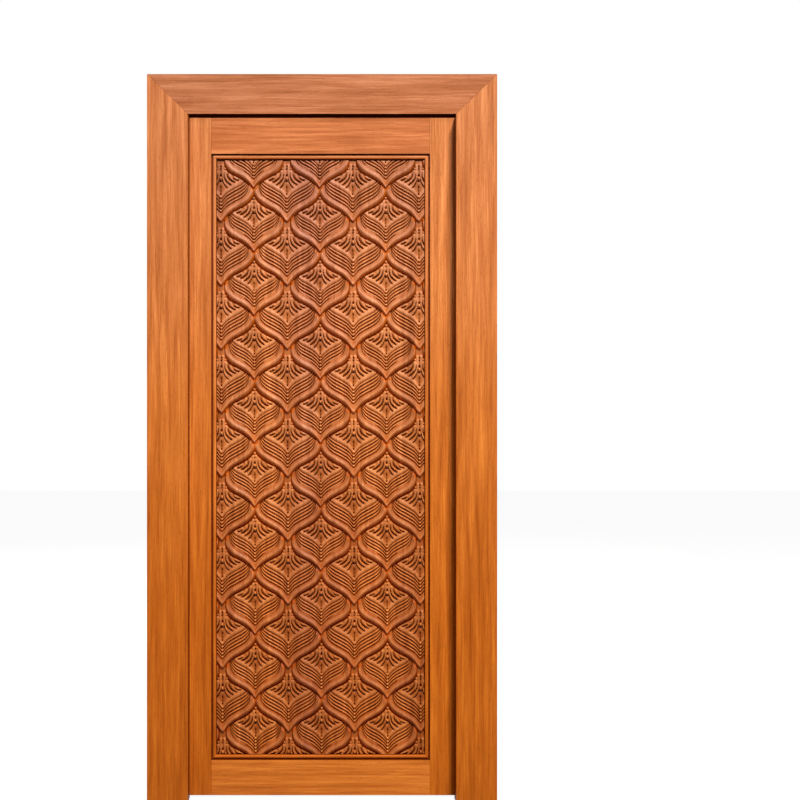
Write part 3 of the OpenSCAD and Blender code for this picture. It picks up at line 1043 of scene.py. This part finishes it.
    def dipped(self, motif: Motif, across: np.ndarray, up: np.ndarray, high: np.ndarray) -> np.ndarray:
        """Lower the relief where it runs under the covering rim.

        Args:
            motif: The motif that is covered.
            across: Distances from its middle.
            up: Heights over its tip.
            high: Heights of the relief there.

        Returns:
            The lowered relief.
        """
        share = eased((self.cover(motif, across) - up) / self.cover_dip)
        return np.where(high > 0, high * (self.cover_least + (1 - self.cover_least) * share), high)

    def both_sides(self, across: np.ndarray, up: np.ndarray, high: np.ndarray) -> np.ndarray:
        """Mirror sections drawn on the right half, so that they run through the tip from left to right."""
        mirrored = np.concatenate([-across[:0:-1], across])
        return self.lift(mirrored, np.concatenate([up[:0:-1], up]), np.concatenate([high[:0:-1], high]))

    def rooted(self, line: np.ndarray) -> np.ndarray:
        """Close a row of section values with its two ends, for the part below the ground."""
        return np.concatenate([line[..., :1], line, line[..., -1:]], axis=-1)

    def rooted_high(self, high: np.ndarray) -> np.ndarray:
        """Close a row of section heights at the root below the ground."""
        root = np.full_like(high[..., :1], self.root)
        return np.concatenate([root, high, root], axis=-1)

    def rim_sections(self, motif: Motif, stations: int = 30) -> np.ndarray:
        """Sections of the rim from its left end through the tip to its right end.

        Args:
            motif: The motif it borders.
            stations: Number of sections on one half.

        Returns:
            Points in metres, around the motif's tip.
        """
        foot, crest, groove = (line.walk(stations) for line in (motif.foot, motif.crest, motif.groove))
        across, up, high = [], [], []
        for d, h in self.rim_profile:
            outer = d <= self.crest_at
            start, end = (foot, crest) if outer else (crest, groove)
            part = d / self.crest_at if outer else (d - self.crest_at) / (1 - self.crest_at)
            place = start + (end - start) * part
            across.append(place[:, 0])
            up.append(place[:, 1])
            high.append(np.full(stations, h, float))
        across, up, high = (np.stack(v, axis=-1) for v in (across, up, high))
        inner = np.array([max(0.0, d - self.crest_at) * (d < self.lip_at) for d, _ in self.rim_profile])
        inner = inner / (1 - self.crest_at)
        high = high - self.crease * inner[None, :] * np.exp(-((across / self.crease_w) ** 2))
        filled = np.array([d > self.filled_from for d, _ in self.rim_profile])
        high = np.where(filled, np.maximum(high, self.edge_fill(motif, across[:, -1:])), high)
        high = self.dipped(motif, across, up, high)
        return self.both_sides(self.rooted(across), self.rooted(up), self.rooted_high(high))

    def edge_fill(self, motif: Motif, across: np.ndarray) -> np.ndarray:
        """Least height of the groove along the rim: deep at the middle and the flanks, shallow between.

        Args:
            motif: The motif it runs in.
            across: Distances from its middle.

        Returns:
            The least heights.
        """
        start, rise = self.edge_rise
        end, fall = self.edge_fall
        return motif.edge_high * eased((across - start) / rise) * eased((end - across) / fall)

    def reed_sections(self, motif: Motif, index: int) -> np.ndarray:
        """Sections of one reed above the rim's inner groove.

        Args:
            motif: The motif that it fills.
            index: Its number, counted from the rim.

        Returns:
            Points in metres, around the motif's tip.
        """
        start = index * motif.reed_pitch
        fine = motif.groove.walk(self.groove_steps)
        middle = fine[:, 1] + start + motif.reed_pitch / 2
        inside = np.flatnonzero(middle < self.cover(motif, fine[:, 0]) + self.reed_overrun)
        upto = (inside[-1] + 1) / len(fine)
        stations = max(self.reed_sections_least, int(motif.groove.length() * upto / self.reed_step))
        line = motif.groove.walk(stations, upto)
        share = np.array([p[0] for p in self.reed_profile])
        across = np.repeat(line[:, :1], len(share), axis=1)
        up = line[:, 1:] + start + motif.reed_pitch * share[None, :]
        floor = np.interp(share, (0, 1), self.groove_floors[index:index + 2])
        high = np.maximum(np.array([p[1] for p in self.reed_profile]), floor)
        high = np.repeat(high[None, :], stations, axis=0)
        if index == 0:
            full, slope = self.fill_fade
            fade = np.clip(full - slope * share, 0, 1)
            high = np.maximum(high, self.edge_fill(motif, line[:, :1]) * fade)
        near, far = self.pearl_room
        free = self.reed_dip + (1 - self.reed_dip) * eased((across - near) / (far - near))
        high = self.dipped(motif, across, up, high * free)
        return self.both_sides(self.rooted(across), self.rooted(up), self.rooted_high(high))

    def bead_sections(self, bead: Bead) -> np.ndarray:
        """Sections of one boss, from its root up to its rounded top.

        Args:
            bead: The boss.

        Returns:
            Points in metres, around the motif's tip.
        """
        around = np.linspace(0, 2 * math.pi, self.boss_sides, endpoint=False)
        wide, rise = np.array([(1.0, self.root / bead.high), *self.boss_profile]).T
        across = bead.across + bead.half_w * wide[:, None] * np.cos(around)[None, :]
        up = bead.up + bead.half_h * wide[:, None] * np.sin(around)[None, :]
        high = np.repeat(rise[:, None] * bead.high, len(around), axis=1)
        return self.lift(across, up, high)

    def plate_outline(self, motif: Motif) -> np.ndarray:
        """Outline of a palmette, between the topmost groove and the rims that cover it.

        Args:
            motif: The motif that it fills.

        Returns:
            Its outline, walked round from the left end along the bottom.
        """
        flank = np.linspace(self.flank_from, self.plate_reach, self.flank_stations)
        across = np.concatenate([self.neck_stations, flank])
        low = self.plate_foot(motif, across)
        high = np.minimum(self.cover(motif, across) - self.cover_gap, self.neck_top)
        inside = across[low < high - self.plate_least]
        low, high = low[: len(inside)], high[: len(inside)]
        right = np.column_stack([inside, low])
        over = np.column_stack([inside, high])
        flip = np.array([-1.0, 1.0])
        return np.vstack([right[:0:-1] * flip, right, over[::-1], over[1:] * flip])

    def plate_foot(self, motif: Motif, across: np.ndarray) -> np.ndarray:
        """Height of a palmette's lower edge, the topmost groove, at distances from its middle."""
        return motif.groove.up_at(np.abs(across)) + self.reed_count * motif.reed_pitch

    def relief(self, motif: Motif, places: np.ndarray, rims: np.ndarray) -> np.ndarray:
        """Height of a palmette's surface: a rounded border, domed petals, and edges rolled into the cuts.

        Args:
            motif: The motif that it belongs to.
            places: Places on it, across and up from the tip.
            rims: Points along the edges of its slits and holes.

        Returns:
            Heights above the ground.
        """
        right = np.column_stack([np.abs(places[:, 0]), places[:, 1]])
        border = np.array(self.border_profile)
        high = np.interp(right[:, 1] - self.plate_foot(motif, right[:, 0]), border[:, 0], border[:, 1])
        for line in motif.petals:
            path = line.walk(self.petal_steps)
            gaps = distances(right, path)
            gone = gaps.argmin(axis=1) / (len(path) - 1)
            slim = self.petal_waist + (1 - self.petal_waist) * np.exp(-((gone / self.petal_taper) ** 2))
            half = 0.5 * self.petal_w * slim
            top = (self.petal_high - self.plate_high) * (1.0 - self.petal_fall * gone)
            dome = np.sqrt(np.clip(1 - (gaps.min(axis=1) / half) ** 2, 0, 1))
            high = np.maximum(high, self.plate_high + top * dome)
        roll = np.clip(1 - distances(places, rims).min(axis=1) / self.plate_roll, 0, 1)
        return np.maximum(high - self.roll_drop * roll**2, self.plate_floor)

    def plate_grid(self, outer: np.ndarray, rings: list[np.ndarray]) -> np.ndarray:
        """Even places inside a palmette's outline and clear of all its edges.

        Args:
            outer: Its outline.
            rings: All of its edges, the outline too.

        Returns:
            The places, one a row.
        """
        step = self.plate_step
        low, top = outer.min(axis=0), outer.max(axis=0)
        rows = np.arange(low[1], top[1], step * self.plate_rows)
        columns = np.arange(low[0], top[0], step)
        places = np.array([(x + step / 2 * (i % 2), y) for i, y in enumerate(rows) for x in columns])
        places = places[self.within(places, outer)]
        return places[distances(places, np.vstack(rings)).min(axis=1) > self.plate_clear]

    @staticmethod
    def within(places: np.ndarray, ring: np.ndarray) -> np.ndarray:
        """Tell which places lie inside a closed outline.

        Args:
            places: The places, one a row.
            ring: The outline.

        Returns:
            True for each place inside.
        """
        start, end = ring, np.roll(ring, -1, axis=0)
        x, y = places[:, :1], places[:, 1:]
        spans = (start[:, 1] > y) != (end[:, 1] > y)
        rise = np.where(end[:, 1] == start[:, 1], 1e-9, end[:, 1] - start[:, 1])
        cross = start[:, 0] + (y - start[:, 1]) * (end[:, 0] - start[:, 0]) / rise
        return ((spans & (x < cross)).sum(axis=1) % 2) == 1

    def plate_lump(self, motif: Motif) -> Lump:
        """A palmette's plate with its slits and holes, closed below the ground.

        Args:
            motif: The motif that it fills.

        Returns:
            Its points in metres around the motif's tip, and its faces.
        """
        outer = self.plate_outline(motif)
        cuts = [slit.outline(side) for slit in motif.slits for side in (1, -1)]
        around = np.linspace(0, 2 * math.pi, self.hole_sides, endpoint=False)
        cuts += [np.column_stack([hole.across + hole.half_w * np.cos(around),
                                  hole.up + hole.half_h * np.sin(around)]) for hole in motif.holes]
        rings = [outer, *cuts]
        places, edges = [], []
        for ring in rings:
            first = len(places)
            places.extend(Vector(p) for p in ring)
            edges.extend((first + i, first + (i + 1) % len(ring)) for i in range(len(ring)))
        places.extend(Vector(p) for p in self.plate_grid(outer, rings))
        flat, _, tiles, _, _, _ = delaunay_2d_cdt(places, edges, [], 0, 1e-5)
        flat = np.array([(p.x, p.y) for p in flat])
        tiles = np.array([list(t) for t in tiles])
        middles = flat[tiles].mean(axis=1)
        solid = self.within(middles, outer)
        for cut in cuts:
            solid &= ~self.within(middles, cut)
        return self.closed(flat, self.relief(motif, flat, np.vstack(cuts)), tiles[solid])

    def closed(self, flat: np.ndarray, high: np.ndarray, tiles: np.ndarray) -> Lump:
        """Close a tiled top with walls and an underside below the ground.

        Args:
            flat: Places of the top's points.
            high: Their heights.
            tiles: Triangles of the top.

        Returns:
            Points in metres and faces.
        """
        used = np.unique(tiles)
        renumber = np.full(len(flat), -1)
        renumber[used] = np.arange(len(used))
        flat, high, tiles = flat[used], high[used], renumber[tiles]
        number = len(flat)
        top = self.lift(flat[:, 0], flat[:, 1], high)
        under = self.lift(flat[:, 0], flat[:, 1], np.full(number, self.root))
        faces = [list(t) for t in tiles] + [[i + number for i in t[::-1]] for t in tiles]
        seen = {(int(t[i]), int(t[(i + 1) % 3])) for t in tiles for i in range(3)}
        faces += [[b, a, a + number, b + number] for a, b in sorted(seen) if (b, a) not in seen]
        return np.vstack([top, under]), faces

    def tips(self, motif: Motif) -> list[np.ndarray]:
        """Find a motif's tips over the whole field.

        Args:
            motif: The motif.

        Returns:
            Places of the tips in metres, level with the ground.
        """
        first = 0 if motif is POINTED else 1
        columns = [c for c in range(-self.half_columns, self.half_columns + 1) if abs(c) % 2 == first]
        drop = 0.0 if motif is POINTED else self.row_pitch - POINTED.cover_rise
        ups = [self.top_tip - drop - r * self.row_pitch for r in range(-1, self.rows)]
        middles = [(self.centre + self.lean * (up - self.lean_from), up) for up in ups]
        return [np.array([(middle + c * self.column_pitch) * MM, 0.0, up * MM])
                for middle, up in middles for c in columns]

    def reaches(self, points: np.ndarray) -> bool:
        """Tell whether a lump reaches into the carved field.

        Args:
            points: Its points in metres, in any arrangement.

        Returns:
            True where it does.
        """
        (left, right), (low, high) = self.limits
        x, z = points[..., 0], points[..., 2]
        return bool(x.max() > left and x.min() < right and z.max() > low and z.min() < high)

    def repeat(self, stock: Stock, motif: Motif, lumps: list[np.ndarray]) -> None:
        """Repeat a motif's lumps at each of its tips.

        Args:
            stock: Where the lumps are gathered.
            motif: The motif that they belong to.
            lumps: Sections of each lump, around the tip.
        """
        for tip in self.tips(motif):
            for sections in lumps:
                if self.reaches(sections + tip):
                    stock.sweep(sections + tip)

    def repeat_plate(self, stock: Stock, motif: Motif) -> None:
        """Repeat a motif's palmette plate at each of its tips.

        Args:
            stock: Where the plates are gathered.
            motif: The motif that they belong to.
        """
        points, faces = self.plate_lump(motif)
        for tip in self.tips(motif):
            if self.reaches(points + tip):
                stock.add(points + tip, faces)

    def board(self) -> Stock:
        """Glue up the board behind the relief, stave by stave.

        Returns:
            The staves.
        """
        low, high = self.board_box
        edges = np.linspace(low.x, high.x, self.staves + 1)
        stock = Stock()
        cut = self.stave_chamfer * MM
        for left, right in zip(edges, edges[1:]):
            outline = [(left, self.ground), (right, self.ground), (right, high.y - cut),
                       (right - cut, high.y), (left + cut, high.y), (left, high.y - cut)]
            stock.sweep(np.array([[(x, y, z) for x, y in outline] for z in (low.z, high.z)]))
        return stock

    def bosses(self, motif: Motif) -> list[np.ndarray]:
        """Shape a motif's bosses, the pearls on its middle line and the rib under them.

        Args:
            motif: The motif.

        Returns:
            Sections of each, around the motif's tip.
        """
        apex = motif.groove.points[0][1]
        pearls = [replace(self.pearl, up=apex + motif.reed_pitch * (k + self.pearl_at))
                  for k in range(self.reed_count + 1)]
        half = motif.reed_pitch * self.reed_count / 2
        spine = Bead(0.0, apex + motif.reed_pitch + half, self.spine_w, half, self.spine_high)
        return [self.bead_sections(bead) for bead in (*motif.beads, *pearls, spine)]

    def build(self) -> list[bpy.types.Object]:
        """Carve the panel.

        Returns:
            Its pieces.
        """
        # The carving's finishes carry painted light and shade by height, and painted shade and highlight in
        # the relief.
        carved = TeakFinish("carving", Grain.UPRIGHT, (0.37, 0.2, 0.11), fade=PaintedHeightLight.CARVING,
                            staves=Staves.PANEL, ground=self.ground, gloss=0.15, figure=0.45)
        finish = carved.material()
        rim = replace(carved, name="carved_rims", relief_light=PaintedReliefLight.RIM, gloss=0.26).material()
        # The bosses are lifted paler still, a painted highlight on the pearls.
        boss = replace(carved, name="carved_bosses", lift=(1.08, 1.24, 1.36)).material()
        back = replace(carved, name="panel_board", gloss=0.03, figure=1.0).material()
        finishes = {"carved_rims": rim, "carved_bosses": boss}
        names = ("carved_rims", "pointed_reeds", "open_reeds", "pointed_palmettes", "open_palmettes",
                 "carved_bosses")
        gathered = {name: Stock() for name in names}
        for motif in (POINTED, OPEN):
            self.repeat(gathered["carved_rims"], motif, [self.rim_sections(motif)])
            reeds = [self.reed_sections(motif, index) for index in range(self.reed_count)]
            self.repeat(gathered[f"{motif.name}_reeds"], motif, reeds)
            self.repeat_plate(gathered[f"{motif.name}_palmettes"], motif)
            self.repeat(gathered["carved_bosses"], motif, self.bosses(motif))
        made = [self.board().piece("panel_board", back, LEAF, "teak")]
        for name, stock in gathered.items():
            made.append(stock.piece(name, finishes.get(name, finish), LEAF, "teak", self.limits))
        for piece in made:
            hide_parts("carved_panel")
        return made


class Side(Enum):
    """A side of the panel's opening, by its two corners: 0 is left or bottom, and 1 is right or top."""

    BOTTOM = ((0, 0), (1, 0))
    LEFT = ((0, 0), (0, 1))
    TOP = ((0, 1), (1, 1))
    RIGHT = ((1, 0), (1, 1))

    @property
    def grain(self) -> Grain:
        """Which way the grain of a strip along this side runs."""
        return Grain.LEVEL if self in (Side.BOTTOM, Side.TOP) else Grain.UPRIGHT


@dataclass
class FrontBeads:
    """The four mitred strips round the carved field, each with a quirk and a round.

    Sizes are in millimetres.

    Attributes:
        quirk_w: Width of the quirk beside the stile or rail.
        quirk_depth: Its depth behind the leaf's face.
        round_w: Width of the round.
        top_depth: Depth of the round's top behind the leaf's face.
        steps: Points along the round.
        shade_room: How far behind the quirk the ground of the painted recess shade lies.
    """

    quirk_w: float = 4.0
    quirk_depth: float = 10.0
    round_w: float = 11.0
    top_depth: float = 4.0
    steps: int = 16
    shade_room: float = 1.5

    def section(self, depth: float) -> np.ndarray:
        """Draw the strip's section.

        Args:
            depth: Depth of the strip's back behind the leaf's face.

        Returns:
            Distance from the opening's edge, and depth behind the leaf's face, one point a row.
        """
        half = self.round_w / 2
        middle = self.quirk_w + half
        turn = np.linspace(0, math.pi, self.steps)
        arc = np.column_stack([middle - half * np.cos(turn), self.top_depth + half - half * np.sin(turn)])
        return np.vstack([[(0, depth), (0, self.quirk_depth), (self.quirk_w, self.quirk_depth)], arc,
                          [(self.quirk_w + self.round_w, depth)]])

    def build(self) -> list[bpy.types.Object]:
        """Make the strips.

        Returns:
            Their pieces.
        """
        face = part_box("hinge_stile")[0].y
        boxes = {side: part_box(f"front_bead_{side.name.lower()}") for side in Side}
        left, right = boxes[Side.LEFT][0].x, boxes[Side.RIGHT][1].x
        low, high = boxes[Side.BOTTOM][0].z, boxes[Side.TOP][1].z
        inset, depth = (self.section((boxes[Side.LEFT][1].y - face) / MM) * MM).T
        across, up = (left + inset, right - inset), (low + inset, high - inset)
        made = []
        for index, side in enumerate(Side):
            name = f"bead_{side.name.lower()}"
            stock = Stock()
            stock.sweep(np.array([np.column_stack([across[i], face + depth, up[j]]) for i, j in side.value]))
            # The bead's finish paints shade into the quirk and a faint highlight on the round.
            finish = TeakFinish(name, side.grain, (0.21 * index, 0.4, 0.13 * index), (0.94, 0.94, 0.94),
                                ground=face + (self.quirk_depth + self.shade_room) * MM,
                                relief_light=PaintedReliefLight.BEAD, gloss=0.10).material()
            piece = stock.piece(name, finish, LEAF, "teak")
            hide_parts(f"front_{name}")
            made.append(piece)
        return made


@dataclass(frozen=True)
class Board:
    """How one CAD board is finished: its grain, its place in the log, its colour factors and its gloss."""

    node: str
    grain: Grain
    shift: Place
    lift: Colour = (1.0, 1.0, 1.0)
    gloss: float = 0.07


@dataclass
class Joinery:
    """The boards that keep their CAD solids: frame, stiles, rails and back beads.

    Attributes:
        arris: Width of the softened edges in millimetres.
        boards: The boards and how each is finished.
    """

    arris: float = 1.1
    boards: tuple[Board, ...] = (
        Board("hinge_post", Grain.UPRIGHT, (0.0, 0.0, 0.0)),
        Board("lock_post", Grain.UPRIGHT, (1.7, 0.3, 0.05), (0.98, 0.98, 0.95)),
        Board("head", Grain.LEVEL, (0.02, 0.6, 0.9), (0.83, 0.87, 1.08), 0.0),
        Board("mitre_tenon_left", Grain.LEVEL, (0.3, 0.1, 0.2)),
        Board("mitre_tenon_right", Grain.LEVEL, (0.5, 0.1, 0.4)),
        Board("hinge_stile", Grain.UPRIGHT, (0.83, 0.9, 0.02), (1.01, 1.02, 0.96)),
        Board("lock_stile", Grain.UPRIGHT, (2.41, 0.5, 0.04), (1.09, 1.12, 1.04)),
        Board("top_rail", Grain.LEVEL, (0.04, 1.2, 0.31), (0.95, 0.88, 0.84)),
        Board("bottom_rail", Grain.LEVEL, (0.06, 1.5, 0.77), (1.29, 1.50, 2.50)),
        Board("back_bead_bottom", Grain.LEVEL, (0.01, 0.7, 0.4)),
        Board("back_bead_top", Grain.LEVEL, (0.02, 0.8, 0.6)),
        Board("back_bead_left", Grain.UPRIGHT, (0.15, 0.7, 0.03)),
        Board("back_bead_right", Grain.UPRIGHT, (0.45, 0.7, 0.05)),
    )

    def build(self) -> None:
        """Finish each board and soften its edges."""
        for board in self.boards:
            finish = TeakFinish(board.node, board.grain, board.shift, board.lift, gloss=board.gloss)
            dress(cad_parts[board.node], finish.material(), self.arris)


@dataclass
class Hinges:
    """The brass butt hinges and their steel screws.

    Attributes:
        edge: Width of the flaps' softened edges in millimetres.
        heights: Where the hinges sit on the leaf.
    """

    edge: float = 0.35
    heights: tuple[str, ...] = ("bottom", "middle", "top")

    def build(self) -> None:
        """Finish the flaps, the pins and the screws."""
        brass, steel = BRASS.material(), STEEL.material()
        for height in self.heights:
            for part in ("frame_flap", "door_flap", "hinge_pin"):
                dress(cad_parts[f"{part}_{height}"], brass, self.edge)
        for node in ("frame_hinge_screws", "door_hinge_screws"):
            dress(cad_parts[node], steel, 0.0)


WELD_GAP = 0.02
ARRIS_ANGLE = 35.0
ARRIS_STEPS = 2


def dress(part: bpy.types.Object, finish: bpy.types.Material, edge: float) -> None:
    """Give a CAD part its finish and soften its edges with modifiers alone.

    Args:
        part: The CAD part.
        finish: Its material.
        edge: Width of the softened edge in millimetres, or 0 for none.
    """
    if not part.material_slots:
        part.data.materials.append(finish)
    for slot in part.material_slots:
        slot.material = finish
    if edge > 0:
        weld = part.modifiers.new("weld", "WELD")
        weld.merge_threshold = WELD_GAP * MM
        arris = part.modifiers.new("arris", "BEVEL")
        arris.width = edge * MM
        arris.segments = ARRIS_STEPS
        arris.limit_method = "ANGLE"
        arris.angle_limit = math.radians(ARRIS_ANGLE)
        arris.use_clamp_overlap = True
        part.modifiers.new("shading", "WEIGHTED_NORMAL")
    log.info("%s: dressed", part.name)


@dataclass(frozen=True)
class Lamp:
    """A soft rectangular lamp.

    Attributes:
        name: Name of the lamp.
        place: Where it hangs, in metres.
        size: Its width and height in metres.
        power: Its power in watts.
        colour: Its colour.
    """

    name: str
    place: Place
    size: Span
    power: float
    colour: Colour = (1.0, 0.98, 0.96)

    def hang(self, aim: Place) -> bpy.types.Object:
        """Hang the lamp.

        Args:
            aim: The place that it faces.

        Returns:
            The lamp's object.
        """
        data = bpy.data.lights.new(self.name, "AREA")
        data.shape = "RECTANGLE"
        data.size, data.size_y = self.size
        data.energy = self.power
        data.color = self.colour
        lamp = bpy.data.objects.new(self.name, data)
        lamp.location = self.place
        lamp.rotation_euler = (Vector(aim) - Vector(self.place)).to_track_quat("-Z", "Y").to_euler()
        bpy.context.scene.collection.objects.link(lamp)
        return lamp


@dataclass
class Studio:
    """Camera, lamps, floor and surroundings.

    Sizes are in metres.

    Attributes:
        frame_front: Y of the door frame's front.
        camera_back: Distance of the camera from that front.
        camera_height: Height of the camera.
        lens: Its focal length in millimetres.
        sensor: Width of its sensor in millimetres.
        shift_x: Its sideways shift, as a share of the picture's width.
        aim: The place that every lamp faces.
        key: The main lamp, high in front.
        fill: A weak lamp in front.
        back: A lamp behind, which the front doesn't see.
        sky: Strength of the soft light from all round.
        floor_half: Half width of the floor.
        floor_grey: How much lamp light the floor gives back.
        floor_white: How white it is without lamp light.
    """

    frame_front: float = -0.05625
    camera_back: float = 4.08
    camera_height: float = 1.1952
    lens: float = 62.02
    sensor: float = 36.0
    shift_x: float = 0.09744
    aim: Place = (0.0, 0.0, 0.6)
    key: Lamp = Lamp("key", (1.5, -4.6, 6.2), (1.4, 1.1), 545.0, (1.0, 0.97, 0.94))
    fill: Lamp = Lamp("fill", (0.9, -4.6, 2.7), (2.0, 1.0), 30.0)
    back: Lamp = Lamp("back", (-1.4, 4.8, 4.2), (2.0, 1.4), 330.0)
    sky: float = 0.11
    floor_half: float = 14.0
    floor_grey: float = 0.12
    floor_white: float = 0.94

    def camera(self) -> None:
        """Set the camera square to the door, shifted sideways as the photograph is framed."""
        data = bpy.data.cameras.new("camera")
        data.lens = self.lens
        data.sensor_width = self.sensor
        data.shift_x = self.shift_x
        camera = bpy.data.objects.new("camera", data)
        camera.location = (0.0, self.frame_front - self.camera_back, self.camera_height)
        camera.rotation_euler = (math.radians(90), 0.0, 0.0)
        bpy.context.scene.collection.objects.link(camera)
        bpy.context.scene.camera = camera

    @staticmethod
    def flag_off(lamp: bpy.types.Object, part: bpy.types.Object) -> None:
        """Keep one part from casting a lamp's shadow on the others.

        Args:
            lamp: The lamp.
            part: The part that its light passes through.
        """
        blockers = bpy.data.collections.new(f"{lamp.name}_blockers")
        blockers.objects.link(part)
        lamp.light_linking.blocker_collection = blockers
        blockers.collection_objects[0].light_linking.link_state = "EXCLUDE"

    def surroundings(self) -> None:
        """White surroundings for the eye, and a soft dim sky for the light."""
        world = bpy.data.worlds.new("studio")
        world.use_nodes = True
        sheet = NodeSheet(world.node_tree)
        soft = sheet.add("Background", {"Color": (1.0, 0.98, 0.95, 1.0), "Strength": self.sky})
        white = sheet.add("Background", {"Color": (1.0, 1.0, 1.0, 1.0)})
        both = sheet.add("MixShader", {"Fac": sheet.seen(), 1: soft.outputs["Background"],
                                       2: white.outputs["Background"]})
        sheet.add("OutputWorld", {"Surface": both.outputs["Shader"]})
        bpy.context.scene.world = world

    def floor(self) -> None:
        """Lay a pale floor that keeps the door's shadow."""
        half = self.floor_half
        corners = [(-half, -half, 0), (half, -half, 0), (half, half, 0), (-half, half, 0)]
        mesh = bpy.data.meshes.new("floor")
        mesh.from_pydata(corners, [], [(0, 1, 2, 3)])
        material = bpy.data.materials.new("pale_floor")
        material.use_nodes = True
        sheet = NodeSheet(material.node_tree)
        grey = self.floor_grey
        pale = sheet.add("BsdfDiffuse", {"Color": (grey, grey, grey, 1.0)})
        strength = sheet.math("MULTIPLY", sheet.seen(), self.floor_white)
        glow = sheet.add("Emission", {"Color": (1.0, 1.0, 1.0, 1.0), "Strength": strength})
        both = sheet.add("AddShader", {0: pale.outputs["BSDF"], 1: glow.outputs["Emission"]})
        sheet.add("OutputMaterial", {"Surface": both.outputs["Shader"]})
        mesh.materials.append(material)
        floor = bpy.data.objects.new("floor", mesh)
        bpy.context.scene.collection.objects.link(floor)

    def build(self) -> None:
        """Set up the whole studio."""
        bpy.context.scene.view_settings.view_transform = "Standard"
        self.camera()
        self.flag_off(self.key.hang(self.aim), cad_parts["head"])
        self.fill.hang(self.aim)
        self.back.hang(self.aim)
        self.surroundings()
        self.floor()


def main() -> None:
    """Build the door's looks in order."""
    logging.basicConfig(level=logging.INFO, format="%(name)s %(message)s")
    Studio().build()
    Joinery().build()
    Hinges().build()
    for piece in [*FrontBeads().build(), *CarvedPanel().build()]:
        log.info("%s is in place", piece.name)


if __name__ == "__main__":
    main()
